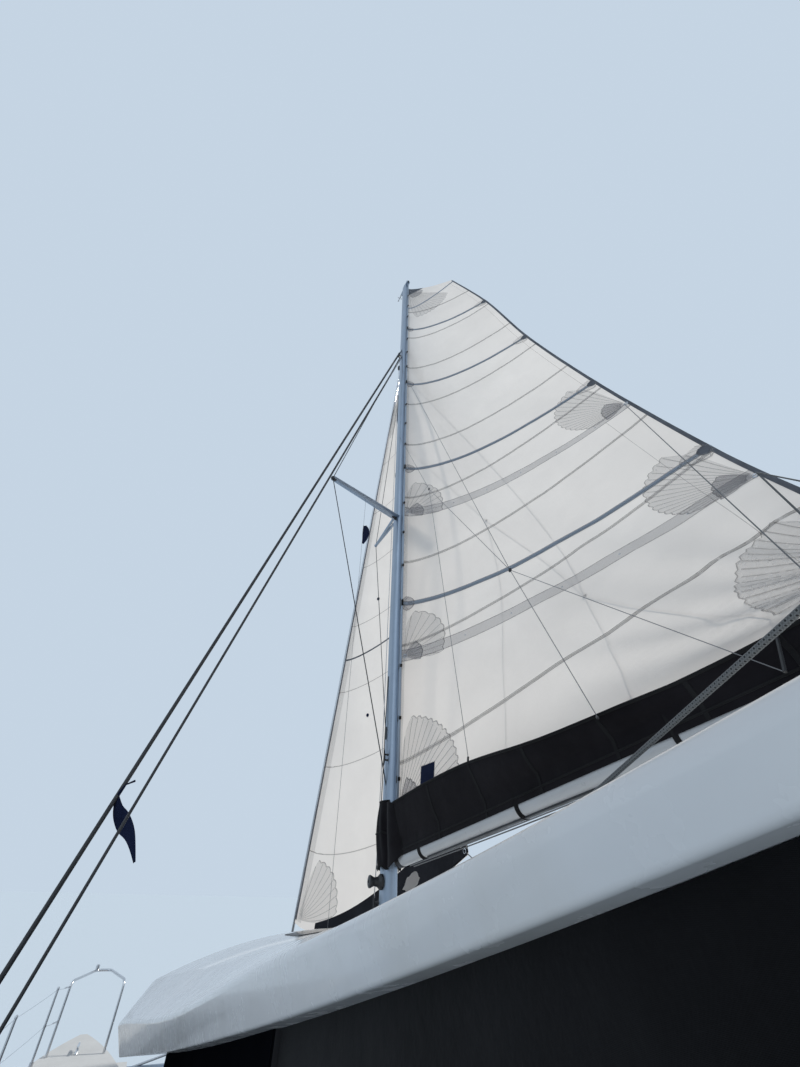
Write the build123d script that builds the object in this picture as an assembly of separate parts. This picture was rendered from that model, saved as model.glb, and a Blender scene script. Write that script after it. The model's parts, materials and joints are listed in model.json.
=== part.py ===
from build123d import *
import math
import os

os.makedirs("parts", exist_ok=True)

# Cruising catamaran under mainsail and jib, millimetres.
# +X forward, +Y port, +Z up; the origin is on the waterline, on the centreline, amidships.

# Hulls
HULL_Y = 2350
BOW_X = 5800
STERN_X = -5800
GUNWALE = 70
LANDING_Y = 1500
LANDING_X = (-4300, 3300)
UNDERSIDE_Z = 760
SOLE_Z = 1050
FOREDECK_Z = 1400
CABIN_FRONT_X = 2600
BULKHEAD_X = -1600
WALL = 50
FIT = 0.3

# Keels, rudders and drives
KEEL_X = -100
KEEL_ROOT = (2300, 230)
KEEL_TIP = (1500, 150)
KEEL_TOP_Z = -560
KEEL_BOTTOM_Z = -1150
RUDDER_X = -4950
RUDDER_TOP_Z = -300
RUDDER_BOTTOM_Z = -1020
RUDDER_CHORD = 520
STOCK_R = 30
STOCK_TOP_Z = 250
RUNNING = 0.5
DRIVE_X = -3900
DRIVE_PAD_Z = -370
SHAFT_Z = -800
SHAFT_R = 16
PROP_R = 210

# Engine bays under the after decks
BAY_X = (-4450, -3250)
BAY_HALF = 280
BAY_FLOOR_Z = -40
ENGINE = (650, 420, 520)
LID_T = 30
LID_LAP = 40

# Forward deck hatches
HATCH_X = (2900, 3500)
HATCH_HALF = 250
HATCH_TOP_Z = 1505

# Roof: one moulding from the hardtop aft to the cabin's brow
SHELL = 50

# Rig
MAST_X = 900
MAST_SECTION = (220, 140)
MAST_BASE_Z = 2900
MAST_TOP_Z = 16850
HOUNDS_Z = 13260
FORESTAY_TOP_Z = 12800
BOOM_AXIS_X = 740
BOOM_Z = 3440
BOOM_LENGTH = 4750
BOOM_SWING = 4.5
BOOM_RISE = 7.5
BOOM_SECTION = (200, 130)
LUFF_R = 9
SAIL_T = 8
WIRE_R = 6


def at(x, y, z):
    return Vector(x, y, z)


def box(x, y, z):
    """Block between low and high values along each axis."""
    size = (x[1] - x[0], y[1] - y[0], z[1] - z[0])
    centre = ((x[0] + x[1]) / 2, (y[0] + y[1]) / 2, (z[0] + z[1]) / 2)
    return Pos(*centre) * Box(*size)


def rod(a, b, radius):
    """Round bar from one point to another."""
    a, b = Vector(*a), Vector(*b)
    way = b - a
    return Plane(origin=a, z_dir=way.normalized()) * extrude(Circle(radius), way.length)


def tube_path(points, radius, bend):
    """Bent tube through points with one bend radius."""
    path = FilletPolyline(*points, radius=bend)
    start = Plane(origin=path @ 0, z_dir=path % 0)
    return sweep(start * Circle(radius), path=path)


def prism_xz(points, y0, y1):
    """Side-view outline carried across the boat from y0 to y1."""
    outline = Wire(Polyline(*[at(x, y0, z) for x, z in points], close=True).edges())
    return extrude(Face(outline), amount=y1 - y0, dir=(0, 1, 0))


def prism_xy(points, z0, z1):
    """Plan outline carried up from z0 to z1."""
    outline = Wire(Polyline(*[at(x, y, z0) for x, y in points], close=True).edges())
    return extrude(Face(outline), amount=z1 - z0, dir=(0, 0, 1))


def both_sides(shape):
    return [shape, mirror(shape, about=Plane.XZ)]


def lens(length, width, x, y, z):
    """Foil-like plan face of two arcs with its long axis fore and aft."""
    nose = at(x + length / 2, y, z)
    tail = at(x - length / 2, y, z)
    thick = at(x + length * 0.08, y + width / 2, z)
    thin = at(x + length * 0.08, y - width / 2, z)
    return Face(Wire([ThreePointArc(nose, thick, tail), ThreePointArc(tail, thin, nose)]))


def save(node, *shapes):
    solids = [s for shape in shapes for s in shape.solids()]
    model = solids[0] if len(solids) == 1 else Compound(children=solids)
    model.label = node
    export_step(model, f"parts/{node}.step")


# Hull stations: x, half width at deck, half width at the turn, deck z, turn z, bottom z
HULL_STATIONS = [
    (STERN_X, 600, 540, 1200, 60, -60),
    (-3500, 800, 640, 1320, 20, -330),
    (-500, 860, 640, 1370, 0, -520),
    (2500, 800, 500, 1450, -50, -470),
    (4600, 520, 250, 1520, -120, -330),
    (BOW_X, 110, 30, 1560, -95, -120),
]

# Boarding steps cut into each stern: forward edge x, tread z
STEPS = [(-5250, 420), (-4950, 710), (-4650, 1000)]


def hull_section(x, deck, turn, deck_z, turn_z, bottom_z):
    p = [(-deck + GUNWALE, deck_z), (deck - GUNWALE, deck_z), (deck, deck_z - GUNWALE),
         (turn, turn_z), (0, bottom_z), (-turn, turn_z), (-deck, deck_z - GUNWALE)]
    v = [at(x, HULL_Y + y, z) for y, z in p]
    return Face(Wire([
        Line(v[0], v[1]), Line(v[1], v[2]), Line(v[2], v[3]),
        ThreePointArc(v[3], v[4], v[5]), Line(v[5], v[6]), Line(v[6], v[0]),
    ]))


def hull():
    body = loft([hull_section(*row) for row in HULL_STATIONS])
    body += box(LANDING_X, (LANDING_Y, LANDING_Y + 350), (UNDERSIDE_Z, 1240))
    body -= box((LANDING_X[0] - 1, LANDING_X[1] + 1), (LANDING_Y - 300, LANDING_Y), (0, 1600))
    body += extrude(lens(*KEEL_ROOT, KEEL_X, HULL_Y, KEEL_TOP_Z), amount=300, dir=(0, 0, 1))
    body += Pos(DRIVE_X, HULL_Y, DRIVE_PAD_Z + 100) * Cylinder(150, 200)
    body += box((4620, 4880), (1750, HULL_Y), (1210, 1450))
    # stern: sloping sheer, then the treads between low side walls
    sheer_cut = [(-4640, 1290), (STERN_X - 10, 640), (STERN_X - 10, 1400), (-4640, 1400)]
    body -= prism_xz(sheer_cut, 1200, 3500)
    for x, z in STEPS:
        body -= box((STERN_X - 10, x), (HULL_Y - 470, HULL_Y + 470), (z, 1500))
    # engine bay and the rebate that its lid lies in
    body -= box(BAY_X, (HULL_Y - BAY_HALF, HULL_Y + BAY_HALF), (BAY_FLOOR_Z, 1600))
    body -= lid_space(RUNNING + 5, 1600)
    body -= Pos(RUDDER_X, HULL_Y, 0) * Cylinder(STOCK_R + RUNNING, 2 * (STOCK_TOP_Z + 2))
    # forward deck hatch well
    body -= box(HATCH_X, (HULL_Y - HATCH_HALF, HULL_Y + HATCH_HALF), (1250, 1700))
    return body.solid()


LID_Z = 1250


def lid_space(clear, top):
    x = (BAY_X[0] - LID_LAP - clear, BAY_X[1] + LID_LAP + clear)
    y = (HULL_Y - BAY_HALF - LID_LAP - clear, HULL_Y + BAY_HALF + LID_LAP + clear)
    return box(x, y, (LID_Z, top))


def to_starboard(shape):
    return mirror(shape, about=Plane.XZ)


port_hull = hull()
save("port_hull", port_hull)
save("starboard_hull", to_starboard(port_hull))


def keel():
    top = lens(*KEEL_ROOT, KEEL_X, HULL_Y, KEEL_TOP_Z)
    return loft([top, lens(*KEEL_TIP, KEEL_X - 150, HULL_Y, KEEL_BOTTOM_Z)])


def rudder():
    top = lens(RUDDER_CHORD, 90, RUDDER_X - RUDDER_CHORD / 4, HULL_Y, RUDDER_TOP_Z)
    tip = lens(RUDDER_CHORD * 0.72, 55, RUDDER_X - RUDDER_CHORD / 5, HULL_Y, RUDDER_BOTTOM_Z)
    stock = rod((RUDDER_X, HULL_Y, RUDDER_TOP_Z - 250), (RUDDER_X, HULL_Y, STOCK_TOP_Z), STOCK_R)
    return (loft([top, tip]) + stock).solid()


def saildrive():
    leg_top = lens(360, 110, DRIVE_X, HULL_Y, DRIVE_PAD_Z)
    leg_foot = lens(300, 90, DRIVE_X - 30, HULL_Y, SHAFT_Z)
    pod = Pos(DRIVE_X - 60, HULL_Y, SHAFT_Z) * Rot(0, 90, 0) * Cylinder(60, 340)
    nose = Pos(DRIVE_X + 110, HULL_Y, SHAFT_Z) * Sphere(60)
    shaft = rod((DRIVE_X - 230, HULL_Y, SHAFT_Z), (DRIVE_X - 380, HULL_Y, SHAFT_Z), SHAFT_R)
    return (loft([leg_top, leg_foot]) + pod + nose + shaft).solid()


PROP_X = DRIVE_X - 310


def propeller():
    """Three twisted blades on a hub that turns on the drive's shaft."""
    hub = Pos(PROP_X, HULL_Y, SHAFT_Z) * Rot(0, 90, 0) * Cylinder(48, 110)
    for angle in (0, 120, 240):
        root = Plane(origin=(0, 0, 30), x_dir=(0.55, 0.84, 0), z_dir=(0, 0, 1)) * Ellipse(52, 11)
        tip = Plane(origin=(0, 0, PROP_R), x_dir=(0.2, 0.98, 0), z_dir=(0, 0, 1)) * Ellipse(36, 4)
        blade = loft([root.face(), tip.face()])
        hub += Pos(PROP_X, HULL_Y, SHAFT_Z) * Rot(angle, 0, 0) * blade
    hub -= Pos(PROP_X, HULL_Y, SHAFT_Z) * Rot(0, 90, 0) * Cylinder(SHAFT_R + RUNNING, 200)
    return hub.solid()


save("keels", *both_sides(keel()))
save("saildrives", *both_sides(saildrive()))
port_rudder = rudder()
save("port_rudder", port_rudder)
save("starboard_rudder", to_starboard(port_rudder))
port_propeller = propeller()
save("port_propeller", port_propeller)
save("starboard_propeller", to_starboard(port_propeller))

engine_x = BAY_X[1] - 100 - ENGINE[0]
engine = box((engine_x, engine_x + ENGINE[0]), (HULL_Y - ENGINE[1] / 2, HULL_Y + ENGINE[1] / 2),
             (BAY_FLOOR_Z, BAY_FLOOR_Z + ENGINE[2]))
save("engines", *both_sides(engine))

# Lids over the engine bays, hinged at their forward edge
LID_FRONT_X = BAY_X[1] + LID_LAP
lid = box((BAY_X[0] - LID_LAP, LID_FRONT_X),
          (HULL_Y - BAY_HALF - LID_LAP, HULL_Y + BAY_HALF + LID_LAP), (LID_Z + FIT, LID_Z + LID_T))
lid = chamfer(lid.edges().group_by(Axis.Z)[-1], 6)
save("port_engine_lid", lid)
save("starboard_engine_lid", to_starboard(lid))

# Forward deck hatches: a raised frame on the deck and a lid hinged at its forward edge
hatch_frame = box((HATCH_X[0] - 45, HATCH_X[1] + 45),
                  (HULL_Y - HATCH_HALF - 45, HULL_Y + HATCH_HALF + 45), (1400, HATCH_TOP_Z))
hatch_frame -= box(HATCH_X, (HULL_Y - HATCH_HALF, HULL_Y + HATCH_HALF), (1300, 1600))
hatch_frame -= port_hull
hatch_lid = box((HATCH_X[0] - 30, HATCH_X[1] + 30),
                (HULL_Y - HATCH_HALF - 30, HULL_Y + HATCH_HALF + 30),
                (HATCH_TOP_Z + FIT, HATCH_TOP_Z + 28))
hatch_lid = fillet(hatch_lid.edges().filter_by(Axis.Z), 60)
save("deck_hatch_frames", *both_sides(hatch_frame))
save("port_deck_hatch", hatch_lid)
save("starboard_deck_hatch", to_starboard(hatch_lid))

# Bridgedeck: sole of cockpit and saloon, with the raised foredeck ahead
bridge = prism_xz([(LANDING_X[0], UNDERSIDE_Z), (2850, UNDERSIDE_Z), (LANDING_X[1], 1080),
                   (LANDING_X[1], FOREDECK_Z), (CABIN_FRONT_X, FOREDECK_Z), (CABIN_FRONT_X, SOLE_Z),
                   (-4150, SOLE_Z), (-4150, 1400), (LANDING_X[0], 1400)], -LANDING_Y, LANDING_Y)
save("bridgedeck", bridge)


# Roof stations: x, half width at the crease, inset of the rim, rim z, crease z, ridge y, ridge z, crown z
ROOF_STATIONS = [
    (-4450, 1550, 30, 3336, 3402, 1130, 3440, 3460),
    (-3200, 1590, 40, 3044, 3142, 1200, 3215, 3270),
    (-1600, 1650, 55, 2704, 2850, 1270, 2994, 3080),
    (400, 1770, 70, 2309, 2460, 1360, 2725, 2880),
    (2450, 1960, 85, 1931, 2148, 1680, 2440, 2795),
]
NOSE_STATIONS = [
    ROOF_STATIONS[-1],
    (2850, 2000, 90, 1857, 2070, 1780, 2370, 2730),
    (3100, 1950, 95, 1815, 2020, 1730, 2260, 2590),
    (3250, 1800, 100, 1790, 1975, 1560, 2100, 2370),
    (3330, 1500, 100, 1775, 1930, 1200, 1980, 2100),
]


def roof_row(x):
    """Roof station at any x, between the rows of the tables."""
    rows = ROOF_STATIONS + NOSE_STATIONS[1:]
    for a, b in zip(rows, rows[1:]):
        if x <= b[0]:
            t = (x - a[0]) / (b[0] - a[0])
            return [p + (q - p) * t for p, q in zip(a, b)]
    return list(rows[-1])


def rim_z(x):
    return roof_row(x)[3]


def roof_z(x, y):
    """Height of the roof's upper face."""
    _, half, _, _, crease, ridge_y, ridge, crown = roof_row(x)
    if y <= ridge_y:
        return crown - (crown - ridge) * (y / ridge_y) ** 2
    return ridge + (crease - ridge) * (y - ridge_y) / (half - ridge_y)


def arched_face(left, right, top):
    """Section with straight flanks, given from the foot up, and an arc through the top."""
    edges = [Line(a, b) for a, b in zip(left, left[1:])]
    edges.append(ThreePointArc(left[-1], top, right[-1]))
    edges += [Line(b, a) for a, b in zip(right, right[1:])]
    edges.append(Line(right[0], left[0]))
    return Face(Wire(edges))


def roof_section(row):
    x, half, inset, rim, crease, ridge_y, ridge, crown = row
    flank = [(half - inset, rim), (half, crease), (ridge_y, ridge)]
    return arched_face([at(x, y, z) for y, z in flank], [at(x, -y, z) for y, z in flank], at(x, 0, crown))


def roof_cavity(stations):
    """Space under the roof's shell, inside the cabin walls."""
    faces = []
    inner = LANDING_Y - WALL
    for x in stations:
        flank = [(inner, rim_z(x) - 200), (inner, roof_z(x, inner) - SHELL),
                 (inner - 250, roof_z(x, inner - 250) - SHELL)]
        faces.append(arched_face([at(x, y, z) for y, z in flank], [at(x, -y, z) for y, z in flank],
                                 at(x, 0, roof_z(x, 0) - SHELL)))
    return loft(faces, ruled=True)


BEAM_HALF = 50
roof = loft([roof_section(row) for row in ROOF_STATIONS])
roof += loft([roof_section(row) for row in NOSE_STATIONS], ruled=True)
roof -= roof_cavity([-4390, -3200, BULKHEAD_X - BEAM_HALF])
roof -= roof_cavity([BULKHEAD_X + BEAM_HALF, 400, 2450, CABIN_FRONT_X - WALL])
STEP_R = 190
STEP_BOTTOM_Z = 2560
roof += Pos(MAST_X, 0, (STEP_BOTTOM_Z + MAST_BASE_Z) / 2) * Cylinder(STEP_R, MAST_BASE_Z - STEP_BOTTOM_Z)
roof = roof.solid()
save("roof", roof)


def wall_under_roof(outline, y0, y1):
    """Upright panel whose top follows the roof's underside."""
    return prism_xz(outline, y0, y1) - roof


TUCK = 60
mast_post = Pos(MAST_X, 0, (SOLE_Z + STEP_BOTTOM_Z) / 2) * Cylinder(45, STEP_BOTTOM_Z - SOLE_Z)
save("mast_post", mast_post)

# Cabin walls under the roof's rim
SILL_Z = 1560
PANES = [(-1450, -330), (-190, 930), (1070, 2190)]
cabin_side = wall_under_roof([(BULKHEAD_X, SOLE_Z), (CABIN_FRONT_X, SOLE_Z),
                              (CABIN_FRONT_X, rim_z(CABIN_FRONT_X) + TUCK),
                              (BULKHEAD_X, rim_z(BULKHEAD_X) + TUCK)], LANDING_Y - WALL, LANDING_Y)
for x0, x1 in PANES:
    opening = [(x0, SILL_Z + 60), (x1, SILL_Z + 60), (x1, rim_z(x1) - 80), (x0, rim_z(x0) - 80)]
    cabin_side -= prism_xz(opening, 1300, 1600)
cabin_side = cabin_side.solid()
save("port_cabin_side", cabin_side)
save("starboard_cabin_side", to_starboard(cabin_side))

GLASS = 10
side_glass = wall_under_roof([(BULKHEAD_X, SILL_Z), (CABIN_FRONT_X, SILL_Z),
                              (CABIN_FRONT_X, rim_z(CABIN_FRONT_X) + TUCK),
                              (BULKHEAD_X, rim_z(BULKHEAD_X) + TUCK)], LANDING_Y, LANDING_Y + GLASS)
side_glass = side_glass.solid()
save("port_side_glass", side_glass)
save("starboard_side_glass", to_starboard(side_glass))

FRONT_PANES = [(-1380, -500), (-430, 430), (500, 1380)]
inside = LANDING_Y - WALL
cabin_front = wall_under_roof([(CABIN_FRONT_X - WALL, SOLE_Z), (CABIN_FRONT_X, SOLE_Z),
                               (CABIN_FRONT_X, rim_z(CABIN_FRONT_X) + TUCK),
                               (CABIN_FRONT_X - WALL, rim_z(CABIN_FRONT_X) + TUCK)], -inside, inside)
for y0, y1 in FRONT_PANES:
    cabin_front -= box((2400, 2700), (y0, y1), (SILL_Z, 1930))
save("cabin_front", cabin_front.solid())
front_glass = wall_under_roof([(CABIN_FRONT_X, SILL_Z - 60), (CABIN_FRONT_X + GLASS, SILL_Z - 60),
                               (CABIN_FRONT_X + GLASS, rim_z(CABIN_FRONT_X) + TUCK),
                               (CABIN_FRONT_X, rim_z(CABIN_FRONT_X) + TUCK)], -inside, inside)
save("front_glass", front_glass.solid())

DOOR_Y = (-500, 400)
DOOR_Z = (1080, 2540)
TRACK_X = (BULKHEAD_X - 60, BULKHEAD_X)
bulkhead = wall_under_roof([(BULKHEAD_X, SOLE_Z), (BULKHEAD_X + WALL, SOLE_Z),
                            (BULKHEAD_X + WALL, rim_z(BULKHEAD_X) + TUCK),
                            (BULKHEAD_X, rim_z(BULKHEAD_X) + TUCK)], -inside, inside)
bulkhead -= box((-1700, -1500), DOOR_Y, DOOR_Z)
AFT_PANES = [(-1350, -600), (530, 1350)]
AFT_PANE_Z = (1700, 2500)
aft_glass = []
for pane in AFT_PANES:
    bulkhead -= box((-1700, -1500), pane, AFT_PANE_Z)
    aft_glass.append(box((BULKHEAD_X + 20, BULKHEAD_X + 20 + GLASS), pane, AFT_PANE_Z))
save("aft_glass", *aft_glass)
bulkhead += box(TRACK_X, (DOOR_Y[0] - 60, inside - 20), (SOLE_Z, 1074))
bulkhead += box(TRACK_X, (DOOR_Y[0] - 60, inside - 20), (2570, 2600))
save("aft_bulkhead", bulkhead.solid())

door_x = (BULKHEAD_X - 45, BULKHEAD_X - 8)
door_y = (DOOR_Y[0] - 40, DOOR_Y[1] + 40)
door_z = (1074 + FIT, 2570 - FIT)
door = box(door_x, door_y, door_z)
pane_y = (door_y[0] + 90, door_y[1] - 90)
pane_z = (door_z[0] + 110, door_z[1] - 90)
door -= box((-1800, -1500), pane_y, pane_z)
save("saloon_door", door)
save("door_glass", box((door_x[0] + 12, door_x[0] + 22), pane_y, pane_z))

# Cockpit: coamings, side screens under the hardtop, posts, seats, table and helm
COAMING_X = (-3650, BULKHEAD_X)
COAMING_TOP_Z = 1900
coaming = box(COAMING_X, (inside, LANDING_Y), (SOLE_Z, COAMING_TOP_Z))
save("coamings", *both_sides(coaming))
SCREEN_X = (-4200, BULKHEAD_X)
screen = wall_under_roof([(SCREEN_X[0], COAMING_TOP_Z), (SCREEN_X[1], COAMING_TOP_Z),
                          (SCREEN_X[1], rim_z(SCREEN_X[1]) + TUCK),
                          (SCREEN_X[0], rim_z(SCREEN_X[0]) + TUCK)], inside + 15, inside + 30)
screen = screen.solid()
save("port_screen", screen)
save("starboard_screen", to_starboard(screen))
post = wall_under_roof([(-4290, 1400), (-4205, 1400), (-4205, rim_z(-4205) + TUCK),
                        (-4290, rim_z(-4290) + TUCK)], inside + 1, LANDING_Y)
save("hardtop_posts", *both_sides(post.solid()))

seat_parts = [
    box((-3500, -1900), (900, inside), (SOLE_Z, 1400)),
    box((-4150, -3505), (-900, inside - 30), (SOLE_Z, 1400)),
    box((-4150, -3700), (-inside + 30, -905), (SOLE_Z, 1400)),
]
save("cockpit_seats", *seat_parts)
cushion_parts = [
    box((-3495, -1920), (920, inside - 10), (1400 + FIT, 1480)),
    box((-4130, -3515), (-880, inside - 40), (1400 + FIT, 1480)),
]
save("cockpit_cushions", *[fillet(c.edges().filter_by(Axis.Z), 40) for c in cushion_parts])

table = box((-3250, -2200), (100, 760), (1740, 1775))
table = fillet(table.edges().filter_by(Axis.Z), 80)
table += Pos(-2725, 430, (SOLE_Z + 1740) / 2) * Cylinder(50, 1740 - SOLE_Z)
table += Pos(-2725, 430, SOLE_Z + 10) * Cylinder(150, 20)
save("cockpit_table", table.solid())

HELM_Y = -1090
WHEEL_X = -2330
WHEEL_Z = 1800
WHEEL_R = 310
console = prism_xz([(-2220, SOLE_Z), (-1780, SOLE_Z), (-1780, 2050), (-1960, 2050), (-2180, 1880)],
                   HELM_Y - 230, HELM_Y + 230)
console += rod((-2140, HELM_Y, WHEEL_Z), (-2270, HELM_Y, WHEEL_Z), 45)
console -= rod((-2271, HELM_Y, WHEEL_Z), (-2150, HELM_Y, WHEEL_Z), 18 + RUNNING)
save("helm_console", console.solid())


def winch(foot):
    """Turned winch: flared base, waisted drum, jaw ring and socket, standing at a foot plane."""
    profile = [(0, 0), (62, 0), (62, 22), (40, 48), (34, 84), (46, 112), (50, 118), (50, 132), (30, 140),
               (12, 140), (12, 120), (0, 120)]
    turned = revolve(make_face(Polyline(*[(r, 0, z) for r, z in profile], close=True)), Axis.Z)
    return foot * turned


WINCH_Z = 2050
winches = [winch(Pos(-1870, HELM_Y + side * 115, WINCH_Z)) for side in (1, -1)]
wheel = Pos(WHEEL_X, HELM_Y, WHEEL_Z) * Rot(0, 90, 0) * Torus(WHEEL_R, 15)
wheel += rod((WHEEL_X - 30, HELM_Y, WHEEL_Z), (WHEEL_X + 45, HELM_Y, WHEEL_Z), 42)
wheel += rod((WHEEL_X, HELM_Y, WHEEL_Z), (-2152, HELM_Y, WHEEL_Z), 18)
for k in range(5):
    a = math.radians(90 + 72 * k)
    rim_point = (WHEEL_X, HELM_Y + WHEEL_R * math.cos(a), WHEEL_Z + WHEEL_R * math.sin(a))
    wheel += rod((WHEEL_X, HELM_Y, WHEEL_Z), rim_point, 9)
save("helm_wheel", wheel.solid())
helm_seat = box((-3150, -2800), (-1400, -840), (1580, 1640))
helm_seat = fillet(helm_seat.edges().filter_by(Axis.Z), 60)
helm_seat += box((-3070, -2880), (-1250, -990), (SOLE_Z, 1580))
save("helm_seat", helm_seat.solid())

saloon_parts = [
    box((-1540, 200), (850, inside), (SOLE_Z, 1500)),
    box((-1540, -300), (-inside, -850), (SOLE_Z, 1950)),
    box((500, 2500), (-inside, -950), (SOLE_Z, 1480)),
    box((1700, 2500), (-945, inside), (SOLE_Z, 1480)),
]
save("saloon_furniture", *saloon_parts)

# Foredeck: crossbeam, striker, longeron, nets
BEAM_X = 4750
BEAM_Z = 1330
BEAM_R = 105
HEEL_Y = 1750
crossbeam = rod((BEAM_X, -HEEL_Y, BEAM_Z), (BEAM_X, HEEL_Y, BEAM_Z), BEAM_R)
crossbeam += box((BEAM_X - BEAM_R - 25, BEAM_X), (-HEEL_Y, HEEL_Y), (BEAM_Z + 20, BEAM_Z + 50))
save("crossbeam", crossbeam.solid())
NET_X = (LANDING_X[1], BEAM_X - BEAM_R - 25)
SPINE_HALF = 110
longeron = box(NET_X, (-SPINE_HALF, SPINE_HALF), (1230, 1370))
longeron = fillet(longeron.edges().filter_by(Axis.X), 35)
save("longeron", longeron)
NET_Z = (1352, 1364)
net = prism_xy([(NET_X[0], SPINE_HALF), (NET_X[1], SPINE_HALF), (NET_X[1], HEEL_Y - 10),
                (NET_X[0], LANDING_Y)], *NET_Z)
save("nets", *both_sides(net))
STRIKER_Z = BEAM_Z + BEAM_R + 380
strut = rod((BEAM_X, 0, BEAM_Z + BEAM_R - 20), (BEAM_X, 0, STRIKER_Z), 32)
striker = [strut - crossbeam]
for side in (1, -1):
    stay_end = (BEAM_X, side * (HEEL_Y - 60), BEAM_Z + BEAM_R - 10)
    stay = rod((BEAM_X, side * 20, STRIKER_Z - 15), stay_end, 12)
    striker[0] += stay - crossbeam
save("striker", striker[0].solid())

# Rails
DECK_RAIL = 640
STANCHION_X = [-3200, -1600, 0, 1600, 3200, 4500]


def deck_half(x):
    rows = HULL_STATIONS
    for a, b in zip(rows, rows[1:]):
        if x <= b[0]:
            t = (x - a[0]) / (b[0] - a[0])
            return a[1] + (b[1] - a[1]) * t, a[3] + (b[3] - a[3]) * t
    return rows[-1][1], rows[-1][3]


stanchions = []
for x in STANCHION_X:
    half, z = deck_half(x)
    y = HULL_Y + half - 130
    post = rod((x, y, z - 60), (x, y, z + DECK_RAIL), 13) + rod((x, y, z - 60), (x, y, z + 60), 22)
    stanchions += both_sides((post - port_hull).solid())
save("stanchions", *stanchions)

RAIL_R = 15
half_a, z_a = deck_half(4900)
rail_z = z_a + DECK_RAIL
pulpit = tube_path([(4900, HULL_Y + half_a - 110, z_a - 60), (4900, HULL_Y + half_a - 110, rail_z),
                    (5600, HULL_Y + 90, rail_z + 30), (5600, HULL_Y - 90, rail_z + 30),
                    (4900, HULL_Y - half_a + 110, rail_z), (4900, HULL_Y - half_a + 110, z_a - 60)],
                   RAIL_R, 75)
pulpit -= port_hull
save("pulpits", *both_sides(pulpit.solid()))

half_c, z_c = deck_half(-4560)
pushpit_y = HULL_Y + half_c - 20
pushpit = tube_path([(-3900, pushpit_y, z_c - 60), (-3900, pushpit_y, z_c + DECK_RAIL),
                     (-4560, pushpit_y - 40, z_c + DECK_RAIL), (-4560, pushpit_y - 40, z_c - 100)],
                    RAIL_R, 90)
pushpit -= port_hull
save("pushpits", *both_sides(pushpit.solid()))

# Chainplates and standing rigging
# Shroud table: deck x, deck y, top z on the mast
SHROUDS = [(-190, 3000, HOUNDS_Z), (-710, 2800, HOUNDS_Z - 300)]
PLATE_TOP_Z = 1500

mast = Pos(MAST_X, 0, MAST_BASE_Z) * extrude(SlotOverall(*MAST_SECTION), MAST_TOP_Z - MAST_BASE_Z)
TRACK_AFT_X = BOOM_AXIS_X + LUFF_R + RUNNING
mast += box((TRACK_AFT_X, MAST_X), (-13, 13), (3700, MAST_TOP_Z - 300))
mast += box((BOOM_AXIS_X - 20, 1060), (-35, 35), (MAST_TOP_Z - 60, MAST_TOP_Z + 25))
save("mast", mast.solid())

MAST_WINCH_Z = 3200
mast_side = Plane(origin=(MAST_X, MAST_SECTION[1] / 2 - 4, MAST_WINCH_Z), z_dir=(0, 1, 0))
winches.append(winch(mast_side) - mast)
save("winches", *winches)

plates = []
shrouds = []
for x, y, top in SHROUDS:
    plate = box((x - 35, x + 35), (y - 8, y + 8), (1250, PLATE_TOP_Z)) - port_hull
    plates += both_sides(plate.solid())
    wire = rod((x, y, PLATE_TOP_Z + 2), (MAST_X - 20, 30, top), WIRE_R) - mast
    screw = rod((x, y, PLATE_TOP_Z), (x + 25, y - 70, PLATE_TOP_Z + 300), 14)
    wire += screw
    wire -= plate
    shrouds += both_sides(wire.solid())
save("chainplates", *plates)
save("shrouds", *shrouds)

SPREADER_Z = 7820
SPREADER_TIP = (443, 1259, 7810)
blade = rod((MAST_X, 20, SPREADER_Z), SPREADER_TIP, 30)
spreader = blade + Pos(*SPREADER_TIP) * Cylinder(26, 70)
spreader -= mast
spreader = spreader.solid()
save("spreaders", *both_sides(spreader))

DIAMOND_FOOT_Z = 3900
diamonds = []
for z_end in (HOUNDS_Z - 120, DIAMOND_FOOT_Z):
    wire = rod(SPREADER_TIP, (MAST_X, 30, z_end), WIRE_R) - mast - spreader
    diamonds += both_sides(wire.solid())
save("diamond_stays", *diamonds)

JUMPER_TIP = (1950, 0, 8030)
jumper = rod((MAST_X, 40, 7950), JUMPER_TIP, 22) + rod((MAST_X, -40, 7950), JUMPER_TIP, 22)
jumper += Pos(*JUMPER_TIP) * Sphere(28)
jumper -= mast
save("jumper_strut", jumper.solid())
jumper_stays = []
for z_end in (12300, 3960):
    wire = rod(JUMPER_TIP, (MAST_X + 60, 0, z_end), 5) - mast - jumper
    jumper_stays.append(wire.solid())
save("jumper_stays", *jumper_stays)

# Forestay with its foil and furling drum
STAY_FOOT = (BEAM_X, 0, STRIKER_Z)
STAY_TOP = (MAST_X + 100, 0, FORESTAY_TOP_Z)
stay_way = (Vector(*STAY_TOP) - Vector(*STAY_FOOT))
stay_dir = stay_way.normalized()


def on_stay(distance):
    return Vector(*STAY_FOOT) + stay_dir * distance


FOIL_R = 20
forestay = rod(STAY_FOOT, STAY_TOP, 7) + rod(on_stay(420), on_stay(stay_way.length - 500), FOIL_R)
forestay += rod(on_stay(200), on_stay(430), 38)
forestay += rod(on_stay(180), on_stay(205), 105) + rod(on_stay(330), on_stay(350), 105)
forestay -= mast
forestay -= striker[0]
save("forestay", forestay.solid())

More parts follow.
